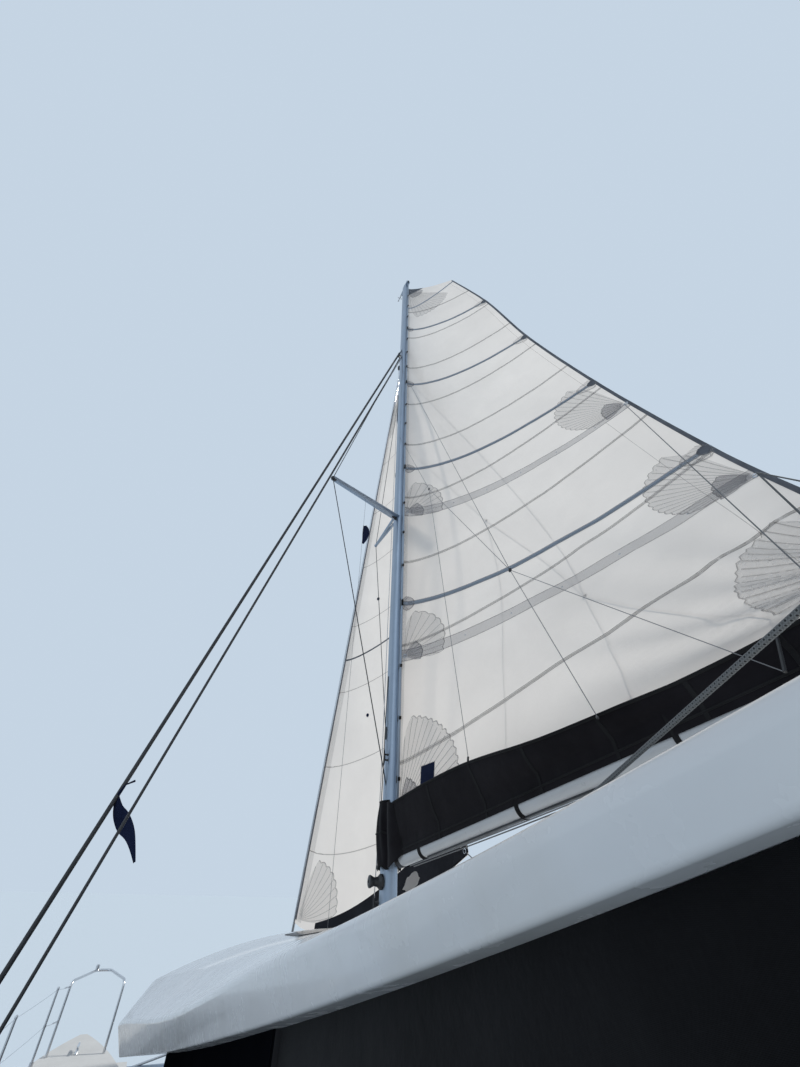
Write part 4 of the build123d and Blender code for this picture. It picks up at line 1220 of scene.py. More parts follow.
def make_bag_bridge(collar_rows):
    """Cloth from the collar back to the front of each bag wall."""
    for side, name in ((1, "port_bag_front"), (-1, "starboard_bag_front")):
        wall = bag_side(side)[0]
        column = [row[-1 if side > 0 else 0] for row in collar_rows]
        shape = Shape()
        rows = []
        for t in spread(0, 1, 14):
            start = column[round(t * (len(column) - 1))]
            end = wall[min(len(wall) - 1, round(t * (len(wall) - 1)))]
            mid = start.lerp(end, 0.5) + Vector((0, side * 0.045, -0.012 - 0.02 * (1 - t)))
            rows.append([start, start.lerp(mid, 0.5) + Vector((0, side * 0.012, 0)), mid,
                         mid.lerp(end, 0.5) + Vector((0, side * 0.010, 0)), end])
        shape.grid([smooth_line(row, 4) for row in rows])
        cloth = shape.make(name, BAG, None, "bag_cloth")
        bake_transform(cloth)


# Lines, blocks and mast gear
def rope(name, points, radius, material, body="root", sides=8, ends=None):
    """Line through points; with ends given, the line is tied to no body and its place is baked into the mesh;
    the points in ends are not used.
    """
    shape = Shape()
    shape.tube(points, radius, sides)
    line = shape.make(name, material, None if ends else body, "net_cord")
    if ends:
        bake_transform(line)


def block(shape, centre, way, axle, size=0.03, slots=(0, 1)):
    """Rope block: two cheeks, a sheave between them and a shackle; way points to what holds it."""
    centre, way, axle = Vector(centre), Vector(way).normalized(), Vector(axle).normalized()
    axle = (axle - way * axle.dot(way)).normalized()
    across = way.cross(axle)
    for side in (1, -1):
        outline = []
        for t in circle(20):
            long = 1.25 if math.sin(t) > 0 else 1.0
            outline.append(centre + axle * side * size * 0.32 + across * size * math.cos(t)
                           + way * size * long * math.sin(t))
        shape.prism(outline, axle * side, size * 0.16, slots[0])
    shape.lathe([(size * 0.8, -size * 0.26), (size * 0.62, 0), (size * 0.8, size * 0.26)], centre, axle,
                20, slots[0])
    shape.lathe([(size * 0.16, -size * 0.55), (size * 0.16, size * 0.55)], centre, axle, 12, slots[1])
    top = centre + way * size * 1.15
    loop = smooth_line([top + (axle * a + way * b) * size for a, b in
                        ((0.3, 0), (0.32, 0.4), (0, 0.8), (-0.32, 0.4), (-0.3, 0))], 5)
    shape.tube(loop, size * 0.11, 6, slots[1])


def cleat(shape, foot, along, up, length=0.16):
    """Horn cleat: two feet and a bar with tapered horns."""
    foot, along, up = Vector(foot), Vector(along).normalized(), Vector(up).normalized()
    for k in (-0.16, 0.16):
        shape.lathe([(length * 0.09, 0), (length * 0.06, length * 0.04), (length * 0.05, length * 0.2)],
                    foot + along * length * k, up, 12)
    points = [foot + along * length * k + up * length * (0.22 + 0.05 * abs(k) * 2) for k in
              (-0.5, -0.4, -0.2, 0, 0.2, 0.4, 0.5)]
    shape.tube(points, [length * r for r in (0.022, 0.045, 0.06, 0.066, 0.06, 0.045, 0.022)], 10)


JACK_TOPS = ((0.80, 0.075, 12.2), (0.80, 0.075, 9.8))
JACK_RINGS = ((-1.612, 0.015, 5.268), (-0.379, 0.113, 7.324))
JACK_ENDS = ((-0.826, 0.077, 3.957), (-2.113, -0.024, 3.926), (-3.088, -0.101, 3.865))


def on_lee_side(p):
    """The place behind the mainsail, on its starboard face, for a point of the port lines."""
    w = min(max(p.z - 0.10, MAIN.low + 0.05), MAIN.high - 0.1)
    u = (LUFF_X - p.x) / (LUFF_X - MAIN.leech(w).x)
    return MAIN.point(w, min(max(u, 0.02), 0.97), -0.012)


def lazy_jacks():
    """Thin lines from the mast that hold each bag wall up, with their rings."""
    top_high, top_low = (Vector(p) for p in JACK_TOPS)
    ring_aft, ring_fore = (Vector(p) for p in JACK_RINGS)
    ends = [Vector(p) for p in JACK_ENDS]
    parts = [(top_high, ring_aft), (top_low, ring_fore), (ring_fore, ends[0]), (ring_fore, ring_aft),
             (ring_aft, ends[1]), (ring_aft, ends[2])]
    for name, port in (("port", True), ("starboard", False)):
        shape, gear = Shape(), Shape()
        for a, b in parts:
            path = straight(a, b, 24)
            if not port:
                path = [on_lee_side(p) for p in path]
            shape.tube(path, 0.0026, 6)
        for p in (ring_aft, ring_fore):
            c = p if port else on_lee_side(p)
            gear.lathe([(0.016, -0.006), (0.020, 0), (0.016, 0.006), (0.009, 0.006), (0.009, -0.006)], c,
                       (0, 1, 0), 16)
        for p, along in zip(ends, BAG_HOLDS):
            top, lean_port, lean_starboard = bag_edge(along)
            edge = on_boom(along, lean_port if port else -lean_starboard, top)
            c = p if port else on_lee_side(p)
            gear.tube(straight(c, edge, 2), 0.0085, 6)
        line = shape.make(name + "_lazy_jack", LINE, None if port else "boom", "net_cord")
        metal = gear.make(name + "_lazy_jack_rings", BLACK, None if port else "boom", "net_cord")
        if port:
            for piece in (line, metal):
                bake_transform(piece)


def reef_lines():
    """Reef lines and the outhaul at the boom's end, and the two lines under it."""
    low, high = Vector((-3.08, -1.25, 5.61)), Vector((-2.22, -1.74, 7.94))
    port = Vector((0, 0.02, 0))
    rope("reef_line_two", straight(high + port, on_boom(4.13, 0.01, BOOM_TALL), 16), 0.0042, LINE, "boom")
    rope("reef_line_one", straight(low + port, on_boom(4.27, 0.012, BOOM_TALL), 16), 0.0065, ROPE, "boom")
    rope("reef_line_one_return", straight(low + port * 1.6, on_boom(BOOM_LENGTH - 0.04, 0.012, 0.07), 16),
         0.0055, ROPE, "boom")
    rope("clew_outhaul", straight((-3.70, -0.31, 4.20), on_boom(BOOM_LENGTH + 0.01, -0.012, 0.066), 6),
         0.005, WHITE_LINE, "boom")
    # two slack lines under the boom
    for k, (side, drop) in enumerate(((0.02, 0.018), (-0.02, 0.022))):
        points = [on_boom(a, side, -BOOM_LOW - drop - 0.010 * math.sin(math.pi * (a - 0.3) / 3.8))
                  for a in spread(0.3, 4.1, 14)]
        rope("boom_underline_%d" % (k + 1), points, 0.0045, LINE, "boom", 6)


ROPE_FORE = Vector((-0.90, 0.23, 3.052))
ROPE_AFT = Vector((-4.34, 1.424, 3.584))


def thick_rope():
    """Grey braid from a block on the roof to the stand-up block at the hardtop's aft corner."""
    rope("long_braided_line", straight(ROPE_FORE, ROPE_AFT, 60), 0.0066, ROPE, "root", 12)
    gear = Shape()
    way = (ROPE_AFT - ROPE_FORE).normalized()
    z = roof_top(-0.96, 0.21)
    block(gear, ROPE_FORE - way * 0.03 + DOWN * 0.005, (0.4, 0.1, -0.9), (0.3, 1, 0), 0.026)
    gear.lathe([(0.035, z - 0.004), (0.035, z + 0.006), (0.012, z + 0.012)], (-0.94, 0.215, 0), UP, 20, 1)
    base = roof_top(-4.36, 1.42)
    gear.lathe([(0.045, base - 0.01), (0.045, base + 0.012), (0.016, base + 0.022), (0.014, 3.50),
                (0.020, 3.52), (0.018, 3.545)], (-4.36, 1.425, 0), UP, 24, 1)
    block(gear, ROPE_AFT + way * 0.022, (0.1, 0, -1), (0, 1, 0), 0.030)
    gear.make("long_line_blocks", [BLACK, STEEL], "root", "stainless")


def halyards():
    """Two halyards ahead of the mast, and two lines down its flanks."""
    rope("jib_halyard", smooth_line([(1.07, 0.02, 13.42), (1.085, 0.03, 12.9), (1.09, 0.04, 8.6),
                                     (1.08, 0.05, 4.3), (1.04, 0.085, 3.06)], 10), 0.0045, WHITE_LINE)
    rope("spinnaker_halyard", smooth_line([(1.07, -0.02, 13.42), (1.09, -0.03, 12.9), (1.10, -0.04, 8.6),
                                           (1.08, -0.06, 4.3), (1.03, -0.085, 3.06)], 10), 0.0045, LINE)
    for name, side, z, material in (("main_halyard_tail", 1, 5.10, ROPE), ("reef_tail", -1, 5.40, LINE)):
        way = [(0.93, side * 0.074, z), (0.925, side * 0.085, 4.6), (0.915, side * 0.110, 3.28)]
        rope(name, smooth_line(way, 8), 0.005, material)


def mast_gear():
    """Sail track, exit boxes, cleats and halyards, and the collar and blocks at the mast's foot."""
    alloy, black = Shape(), Shape()
    alloy.box((0.708, -0.014, 3.62), (0.722, 0.014, 16.70), 0.002)
    black.box((1.045, -0.018, 13.35), (1.073, 0.018, 13.49), 0.006)
    for z, side in ((12.95, 1), (13.15, -1), (5.15, 1), (5.45, -1), (4.55, 1), (4.75, -1)):
        y = side * 0.066
        black.box((0.914, y - 0.010, z - 0.07), (0.946, y + 0.010, z + 0.07), 0.006)
    for side in (1, -1):
        cleat(black, (0.99, side * 0.062, 3.02), UP, (0.35, side, 0), 0.17)
        cleat(black, (0.86, side * 0.069, 4.28), UP, (0, side, 0), 0.17)
    halyards()
    for x, y, z, tall in ((1.085, 0.045, 13.30, 0.10), (1.03, 0.055, 12.62, 0.09),
                          (1.055, -0.05, 12.80, 0.08)):
        profile = [(0.012, -tall), (0.028, -tall * 0.6), (0.030, tall * 0.5), (0.012, tall)]
        black.lathe(profile, (x, y, z), UP, 14)
    alloy.lathe([(0.165, 2.900), (0.165, 2.914), (0.135, 2.920), (0.128, 2.93)], (MAST_X, 0, 0), UP, 36)
    for k in range(6):
        t = math.radians(20 + 60 * k)
        centre = Vector((MAST_X + 0.152 * math.cos(t), 0.152 * math.sin(t), 2.965))
        block(black, centre, DOWN, (math.sin(t), -math.cos(t), 0), 0.026, (0, 0))
    alloy.make("mast_track_and_collar", ALLOY, "root", "mast_alloy")
    black.make("mast_fittings", BLACK, "root", "mast_alloy")


def masthead():
    """Sheave box with its sheaves, wind vane, wind cups, aerial and light."""
    gear = Shape()
    gear.box((0.70, -0.05, 16.80), (1.13, 0.05, 16.872), 0.012)
    for x in (0.72, 1.10):
        gear.lathe([(0.040, -0.012), (0.046, -0.012), (0.038, 0), (0.046, 0.012), (0.040, 0.012)],
                   (x, 0, 16.83), (0, 1, 0), 24, 1)
    gear.tube([(0.93, -0.025, 16.86), (0.93, -0.025, 17.16)], [0.006, 0.002], 8, 1)
    gear.lathe([(0.024, 16.87), (0.026, 16.93), (0.014, 16.95), (0.001, 16.953)], (0.83, 0.02, 0), UP, 20, 1)
    gear.tube([(1.10, 0.02, 16.86), (1.22, 0.02, 16.90), (1.30, 0.02, 16.96), (1.30, 0.02, 17.02)],
              0.006, 8, 1)
    gear.tube([(1.16, 0.02, 17.02), (1.42, 0.02, 17.02)], [0.0035, 0.005], 8, 1)
    gear.box((1.14, 0.018, 16.985), (1.20, 0.022, 17.055), 0.001, 1)
    for a in circle(3):
        end = Vector((1.30 + 0.055 * math.cos(a), 0.02 + 0.055 * math.sin(a), 16.945))
        gear.tube([(1.30, 0.02, 16.945), tuple(end)], 0.002, 6, 1)
        gear.lathe([(0.001, -0.012), (0.012, -0.008), (0.016, 0.004)], end, (-math.sin(a), math.cos(a), 0),
                   12, 1)
    gear.make("masthead_box", [ALLOY, BLACK], "root", "mast_alloy")


def spreader_gear():
    """Foil-shaped spreaders with their root and tip fittings, and the steaming light."""
    dark, foils = Shape(), Shape()
    flat_ring = [(math.cos(t) * 0.7, math.sin(t)) for t in circle(16)]
    for side in (1, -1):
        tip = Vector((0.443, side * 1.259, 7.81))
        root = Vector((0.86, side * 0.07, 7.82))
        way = (tip - root).normalized()
        chordwise = Vector((way.y, -way.x, 0)) * side
        rows = []
        for t in spread(0, 1, 12):
            half, thick = 0.072 - 0.022 * t, 0.021 - 0.006 * t
            mid = root.lerp(tip, t) - Vector((0, side * 0.012 * (1 - t), 0))
            rows.append([mid + chordwise * half * math.cos(a) + Vector((0, 0, thick * math.sin(a)))
                         for a in circle(28)])
        foils.grid(rows, 0, around=True, caps=True)
        dark.tube([tip - way * 0.055, tip - way * 0.03, tip + way * 0.012, tip + way * 0.026],
                  [0.026, 0.031, 0.031, 0.018], 16)
        dark.tube([root - way * 0.004, root + way * 0.07], [0.052, 0.036], section=flat_ring)
    foils.make("spreader_foils", ALLOY, "root", "mast_alloy", ["spreaders"])
    dark.box((1.052, -0.022, 9.00), (1.098, 0.022, 9.11), 0.010, 0)
    dark.make("spreader_ends_and_light", BLACK, "root", "mast_alloy")


def flag_halyard():
    """Thin line under the port spreader with a small hanging pennant."""
    flag_top = Vector((0.67, 0.66, 7.80))
    rope("flag_halyard", straight(flag_top, (0.72, 0.62, roof_top(0.72, 0.62)), 10), 0.0018, LINE, "root", 5)
    flag = Shape()
    rows = []
    for t in spread(0, 1, 8):
        drop = 0.51 + 0.34 * t
        wide = 0.085 * math.sin(math.pi * (0.12 + 0.80 * t)) ** 0.8
        rows.append([flag_top + Vector((-wide * 0.55 * s + 0.012 * math.sin(5 * t + 3 * s), -wide * s, -drop))
                     for s in (0, 0.25, 0.5, 0.75, 1.0)])
    flag.grid(rows)
    cloth = flag.make("small_pennant", NAVY, "root", "sailcloth")


TELL_TALE_AT = 0.179
TELL_TALE_SIZE = 0.86


def shroud_tell_tale():
    """Cloth ribbon knotted to the forward shroud.

    Each row is the pixels right and down of the knot, and the half width there.
    """
    foot, head = SHROUD_FORE
    knot = foot.lerp(head, TELL_TALE_AT)
    ribbon = Shape()
    camera_way = (EYE - knot).normalized()
    right = Vector((-math.sin(LOOK_YAW), -math.cos(LOOK_YAW), 0))
    down = camera_way.cross(right).normalized()
    if down.z > 0:
        down.negate()
    k = (knot - EYE).length / FOCAL_PIXELS * TELL_TALE_SIZE
    rows = []
    for x, y, half in ((0, 0, 2.0), (4, 9, 4.2), (9, 15, 6.2), (15, 22, 6.4), (21, 28, 4.4), (26, 36, 2.6),
                       (31, 46, 1.0)):
        mid = knot + right * (x * k) + down * (y * k)
        side = (right * 0.80 - down * 0.60) * half * k
        wave = camera_way * 0.012 * math.sin(x * 0.35)
        rows.append([mid + side * s + wave * (1 - abs(s)) for s in (-1, -0.5, 0, 0.5, 1)])
    ribbon.grid([smooth_line([row[j] for row in rows], 3) for j in range(5)])
    ribbon.tube([knot + right * (12 * k) - down * (12 * k), knot + right * (5 * k) - down * (9 * k), knot,
                 foot.lerp(head, 0.172)], [0.008, 0.005, 0.013, 0.010], 8, 0)
    cloth = ribbon.make("shroud_tell_tale", NAVY, "root", "sailcloth")


def rigging_screws():
    """Terminals, bodies and toggles at the shrouds' feet, forks aloft, covers on the wires."""
    steel, covers = Shape(), Shape()
    for (foot, head), cover in ((SHROUD_FORE, 0.015), (SHROUD_AFT, 0.0095)):
        for side in (1, -1):
            a, b = to_side(foot, side), to_side(head, side)
            way = (b - a).normalized()
            covers.tube([a + way * 0.52, a + way * 0.54, b - way * 0.36, b - way * 0.30],
                        [0.008, cover, cover, 0.007], 10)
            steel.tube([a + way * d for d in (0.03, 0.05, 0.10, 0.105, 0.32, 0.325, 0.42, 0.50)],
                       [0.009, 0.010, 0.010, 0.017, 0.017, 0.010, 0.011, 0.008], 12)
            steel.tube([b - way * d for d in (0.30, 0.26, 0.12, 0.10)], [0.007, 0.011, 0.011, 0.006], 12)
    steel.make("rigging_screws", STEEL, "root", "stainless")
    covers.make("shroud_covers", WIRE, "root", "stainless")


def jib_gear():
    """Sheet from the clew to the roof's track, its car, and the furling line."""
    clew = JIB.point(CLEW_W, 1 - CLEW_INSIDE / JIB.chord(CLEW_W))
    gear = Shape()
    car = Vector((0.10, -1.20, roof_top(0.10, 1.20) + 0.055))
    gear.box((-0.45, -1.225, roof_top(0.0, 1.2) - 0.02), (0.75, -1.175, roof_top(0.75, 1.2) + 0.012),
             0.004, 1)
    gear.box((car.x - 0.06, car.y - 0.035, car.z - 0.05), (car.x + 0.06, car.y + 0.035, car.z - 0.015), 0.008)
    block(gear, car + UP * 0.02, (-0.2, 0, -1), (0, 1, 0), 0.034)
    gear.make("jib_track_and_car", [BLACK, ALLOY], "root", "stainless")
    rope("jib_sheet", straight(clew, car + Vector((0.02, 0, 0.045)), 20), 0.006, LINE)
    tail = [car + Vector((-0.03, 0, 0.03))]
    tail += [Vector((x, y, roof_top(x, y) + rise)) for x, y, rise in
             ((-0.8, -1.10, 0.02), (-2.2, -1.02, 0.02), (-3.3, -0.96, 0.03))]
    rope("jib_sheet_tail", smooth_line(tail, 10), 0.006, LINE)
    rope("furling_line", smooth_line([(4.72, 0.08, 1.90), (4.60, 0.20, 1.62), (3.60, 1.0, 1.50),
                                      (3.30, 1.56, 1.50), (2.6, 1.9, 1.46)], 8), 0.004, WHITE_LINE)


# Deck, cockpit and soft goods
def node_points(node):
    obj = NODES[node]
    return [obj.matrix_world @ v.co for v in obj.data.vertices]


def surface_of(node):
    """Tree of a node's faces, for finding places on its surface."""
    return BVHTree.FromPolygons(node_points(node), [list(p.vertices) for p in NODES[node].data.polygons])


HULL_SURFACE = surface_of("port_hull")


def hull_side(x, z):
    """Outer face of the port hull."""
    return HULL_SURFACE.ray_cast(Vector((x, 4.0, z)), Vector((0, -1, 0)))[0]


def hull_top(x, y):
    """Deck or step of the port hull."""
    return HULL_SURFACE.ray_cast(Vector((x, y, 3.0)), DOWN)[0]


STANCHION_XS = (-3.2, -1.6, 0.0, 1.6, 3.2, 4.5)
WIRE_DROPS = (0.012, 0.31)


def guard_wires():
    """Two wires each side from the pushpit to the pulpit through the stanchions, with end fittings."""
    points = [p for p in node_points("stanchions") if p.y > 0]
    tops = []
    for x in STANCHION_XS:
        near = [p for p in points if abs(p.x - x) < 0.03]
        high = max(p.z for p in near)
        head = [p for p in near if p.z > high - 0.002]
        tops.append(Vector((x, sum(p.y for p in head) / len(head), high)))
    rail = [p for p in node_points("pushpits") if p.y > 0 and p.x > -3.92]
    aft = Vector((-3.90, max(p.y for p in rail) - 0.015, max(p.z for p in rail) - 0.03))
    bow = [p for p in node_points("pulpits") if p.y > 2.35 and p.x < 4.92]
    fore = Vector((4.90, max(p.y for p in bow) - 0.02, max(p.z for p in bow) - 0.03))
    wires, ends = Shape(), Shape()
    for side in (1, -1):
        for drop in WIRE_DROPS:
            path = [to_side(p + DOWN * drop, side) for p in (aft, *tops, fore)]
            fine = []
            for a, b in zip(path, path[1:]):
                for k in range(6):
                    p = a.lerp(b, k / 6)
                    p.z -= 0.006 * math.sin(math.pi * k / 6)
                    fine.append(p)
            wires.tube(fine + [path[-1]], 0.0028, 6)
            for a, b in ((path[0], path[1]), (path[-1], path[-2])):
                way = (b - a).normalized()
                ends.tube([a + way * d for d in (0.0, 0.03, 0.035, 0.15, 0.155, 0.20)],
                          [0.004, 0.004, 0.008, 0.008, 0.005, 0.004], 10)
        for t in tops:
            p = to_side(t, side)
            ends.lathe([(0.015, -0.012), (0.016, 0.0), (0.012, 0.010), (0.004, 0.014)], p, UP, 16)
            ends.lathe([(0.017, -0.32), (0.017, -0.30)], p, UP, 16)
    wires.make("guard_wires", STEEL, "root", "stainless")
    ends.make("guard_wire_ends", STEEL, "root", "stainless")


# Panes in the topsides: middle, half length and height
HULL_PANES = ((-1.75, 0.52, 0.90), (0.0, 0.62, 0.93), (1.75, 0.52, 0.96), (3.10, 0.22, 1.0))


def hull_windows():
    """Long dark panes laid on the outer topsides, with a thin frame."""
    shape = Shape()
    for side in (1, -1):
        for middle, long, z in HULL_PANES:
            for grow, lift, slot in ((0.018, 0.006, 1), (0.0, 0.011, 0)):
                centre = to_side(hull_side(middle, z) + Vector((0, lift, 0)), side)
                rim = []
                for t in circle(48):
                    c, s = math.cos(t), math.sin(t)
                    x = middle + (long + grow) * math.copysign(abs(c) ** 0.35, c)
                    high = z + (0.095 + grow) * math.copysign(abs(s) ** 0.55, s)
                    rim.append(to_side(hull_side(x, high) + Vector((0, lift, 0)), side))
                inner = [centre.lerp(p, 0.5) for p in rim]
                inner = [to_side(hull_side(p.x, p.z) + Vector((0, lift, 0)), side) for p in inner]
                n = len(rim)
                shape.add([centre] + inner, [[0, 1 + k, 1 + (k + 1) % n] for k in range(n)], slot)
                edge = [p - Vector((0, side * (lift + 0.006), 0)) for p in rim]
                shape.grid([inner, rim, edge], slot, around=True)
    shape.make("hull_windows", [GLASS, BLACK], "root", "dark_acrylic")


def roof_hatch(black, glass, side):
    """Frame and pane laid on the roof ahead of the mast."""
    x0, x1, y0, y1 = 1.50, 2.00, 0.16, 0.64
    for grow, lift, slot in ((0.03, 0.003, black), (0.0, 0.006, glass)):
        rows = []
        for x in spread(x0 - grow, x1 + grow, 6):
            rows.append([Vector((x, side * y, roof_top(x, inner) + lift)) for y, inner in
                         zip(spread(y0 - grow, y1 + grow, 6), spread(y0, y1, 6))])
        slot.grid(rows)
        loop = [rows[0][j] for j in range(7)] + [rows[i][-1] for i in range(1, 7)]
        loop += [rows[-1][j] for j in range(5, -1, -1)] + [rows[i][0] for i in range(5, -1, -1)]
        slot.grid([loop, [p + DOWN * 0.03 for p in loop]])


def ground_tackle(steel, black):
    """Windlass on the foredeck, roller on the spine, the anchor stowed in it, and its chain."""
    steel.lathe([(0.11, 1.398), (0.11, 1.415), (0.075, 1.425), (0.07, 1.50), (0.085, 1.515), (0.05, 1.545),
                 (0.03, 1.55)], (3.05, 0, 0), UP, 32)
    steel.box((4.35, -0.05, 1.372), (4.92, -0.040, 1.47), 0.004)
    steel.box((4.35, 0.040, 1.372), (4.92, 0.05, 1.47), 0.004)
    black.lathe([(0.045, -0.036), (0.030, 0), (0.045, 0.036)], (4.88, 0, 1.445), (0, 1, 0), 20)
    steel.tube([(4.40, 0, 1.50), (4.70, 0, 1.505), (4.95, 0, 1.49), (5.07, 0, 1.40)],
               [0.014, 0.018, 0.020, 0.016], 8)
    tip, heel = Vector((5.02, 0, 1.12)), Vector((5.14, 0, 1.42))
    for side in (1, -1):
        wing = [heel, Vector((5.06, side * 0.17, 1.40)), Vector((4.98, side * 0.13, 1.26)), tip]
        steel.prism(wing, Vector((0.95, 0, -0.2)).normalized(), 0.012)
    chain = smooth_line([(4.42, 0, 1.50), (4.2, 0, 1.388), (3.6, 0.01, 1.383), (3.2, 0.02, 1.41),
                         (3.12, 0.03, 1.45)], 8)
    steel.tube(chain, 0.009, 6)


def deck_fittings():
    """Cleats, roof hatch panes, filler caps, bow lights, hatch hinges, step mats and ground tackle."""
    steel, black, glass, mats = Shape(), Shape(), Shape(), Shape()
    for side in (1, -1):
        for x, y in ((5.0, 2.35), (0.9, 2.92), (-4.1, 2.95)):
            cleat(steel, to_side(hull_top(x, y), side), (1, 0, 0), UP, 0.24)
        roof_hatch(black, glass, side)
        cap = to_side(hull_top(-2.4, 2.85), side)
        steel.lathe([(0.035, -0.002), (0.035, 0.004), (0.028, 0.006), (0.001, 0.006)], cap, UP, 24)
        # lights on the pulpits, and the deck hatches' hinges
        steel.lathe([(0.022, 0), (0.024, 0.045), (0.012, 0.055)], (5.55, side * 2.44, 2.21), UP, 16)
        for y in (2.20, 2.50):
            black.box((2.865, side * y - 0.03, 1.503), (2.90, side * y + 0.03, 1.535), 0.006)
        for x in (-4.75, -5.1, -5.45):
            y, z = side * 2.35, hull_top(x, 2.35).z
            mats.box((x - 0.10, y - 0.26, z - 0.002), (x + 0.10, y + 0.26, z + 0.004), 0.002)
    ground_tackle(steel, black)
    steel.make("deck_steelwork", STEEL, "root", "stainless")
    black.make("deck_black_fittings", BLACK, "root", "dark_acrylic")
    glass.make("roof_hatch_panes", GLASS, "root", "dark_acrylic")
    mats.make("step_mats", NONSKID, "root", "gelcoat")


def woven_nets():
    """Crossed cords each side of the spine, hung a little slack inside an edge cord."""
    shape = Shape()
    x0, x1, spine, level = 3.30, 4.62, 0.11, 1.358

    def outer(x):
        return 1.50 + 0.24 * (x - x0) / (x1 - x0)

    def low(x, y):
        sx, sy = (x - x0) / (x1 - x0), (abs(y) - spine) / (outer(x) - spine)
        return level - 0.035 * math.sin(math.pi * sx) * math.sin(math.pi * min(1, max(0, sy)))

    for side in (1, -1):
        for x in spread(x0 + 0.02, x1 - 0.02, 26):
            ys = spread(spine + 0.02, outer(x) - 0.02, 8)
            shape.tube([(x, side * y, low(x, y)) for y in ys], 0.0034, 4, caps=False)
        for k in range(31):
            s = (k + 0.5) / 31
            path = []
            for x in spread(x0 + 0.02, x1 - 0.02, 7):
                y = spine + 0.02 + (outer(x) - spine - 0.04) * s
                path.append((x, side * y, low(x, y)))
            shape.tube(path, 0.0034, 4, caps=False)
        border = [(x0 + 0.012, spine + 0.012), (x1 - 0.012, spine + 0.012), (x1 - 0.012, outer(x1) - 0.012),
                  (x0 + 0.012, outer(x0) - 0.012), (x0 + 0.012, spine + 0.012)]
        shape.tube([(x, side * y, level) for x, y in border], 0.007, 8)
    shape.make("woven_nets", NET, "root", "net_cord", ["nets"])


HELM_Y = -1.09
WHEEL_Z = 1.80
RIM_INSIDE = 0.292


def wheel_finish(centre, normal):
    """Dark rim, steel spokes and hub."""
    return int(math.hypot(centre.y - HELM_Y, centre.z - WHEEL_Z) > RIM_INSIDE)


def helm_details():
    """Slanting display, compass and throttles on the console, and the wheel."""
    black, steel, glass = Shape(), Shape(), Shape()
    y = HELM_Y
    a, b = Vector((-2.18, 0, 1.88)), Vector((-1.96, 0, 2.05))
    way = (b - a).normalized()
    out = Vector((-way.z, 0, way.x))
    for wide, low, high, lift, slot in ((0.20, 0.04, 0.24, 0.010, black), (0.18, 0.055, 0.225, 0.013, glass)):
        corners = [a + way * low, a + way * low, a + way * high, a + way * high]
        spans = [-wide, wide, wide, -wide]
        slot.prism([c + Vector((0, y + s, 0)) - out * 0.004 for c, s in zip(corners, spans)], out, lift)
    steel.lathe([(0.055, 2.048), (0.055, 2.060), (0.045, 2.066)], (-1.88, y, 0), UP, 28)
    black.lathe([(0.045, 2.064), (0.044, 2.085), (0.032, 2.105), (0.001, 2.112)], (-1.88, y, 0), UP, 28)
    for shift in (0.20, 0.205):
        black.box((-2.13, y - shift - 0.04, 1.93), (-2.05, y - shift, 2.00), 0.008)
    for k in (0, 1):
        x = -2.10 + 0.05 * k
        steel.tube([(x, y - 0.235, 1.98), (x - 0.02, y - 0.24, 2.06), (x - 0.03, y - 0.24, 2.10)],
                   [0.008, 0.007, 0.007], 10)
        black.lathe([(0.014, -0.012), (0.018, 0), (0.014, 0.012)], (x - 0.032, y - 0.24, 2.11), (0, 1, 0), 16)
    black.make("helm_black_parts", BLACK, "root", "dark_acrylic")
    steel.make("helm_steel_parts", STEEL, "root", "stainless")
    glass.make("helm_displays", GLASS, "root", "dark_acrylic")
    copy_mesh("helm_wheel", "helm_wheel_dressed", [STEEL, BLACK], smooth=40, slot_of=wheel_finish)


def main_sheet():
    """Traveller across the hardtop, its car, and a four-part tackle up to the boom."""
    gear, moving = Shape(), Shape()
    x = -3.42
    rows = []
    for y in spread(-1.12, 1.12, 24):
        z = roof_top(x, y)
        rows.append([Vector((x + dx, y, z + dz)) for dx, dz in
                     ((-0.02, -0.01), (-0.02, 0.024), (0.02, 0.024), (0.02, -0.01))])
    gear.grid(rows, 1, around=True, caps=True)
    foot = on_boom(SHEET_AT, 0, 0)
    car = Vector((x, foot.y, roof_top(x, foot.y) + 0.05))
    gear.box((x - 0.06, car.y - 0.09, car.z - 0.032), (x + 0.06, car.y + 0.09, car.z), 0.012)
    low = car + UP * 0.055
    block(gear, low, DOWN, (0, 1, 0), size=0.034, slots=(0, 2))
    for end in (-1.13, 1.13):
        z = roof_top(x, end)
        gear.box((x - 0.035, end - 0.025, z - 0.005), (x + 0.035, end + 0.025, z + 0.045), 0.008)
    gear.make("traveller", [BLACK, ALLOY, STEEL], "root", "stainless")
    top = on_boom(SHEET_AT, 0, -0.265)
    block(moving, top, UP, (0, 1, 0), 0.034)
    moving.make("boom_sheet_block", [BLACK, STEEL], "boom", "stainless")
    for k, (dx, dy) in enumerate(((0.024, 0.010), (0.024, -0.010), (-0.024, 0.010), (-0.024, -0.010))):
        a, b = low + Vector((dx, dy, 0)), top + Vector((dx, dy, 0))
        rope("main_sheet_part_%d" % (k + 1), straight(a, b, 8), 0.0055, ROPE, ends=(tuple(a), tuple(b)))


VOXEL = 0.016
TUCK = 0.008
MOST_SWELL = 0.016
LAST_FRAME = 20


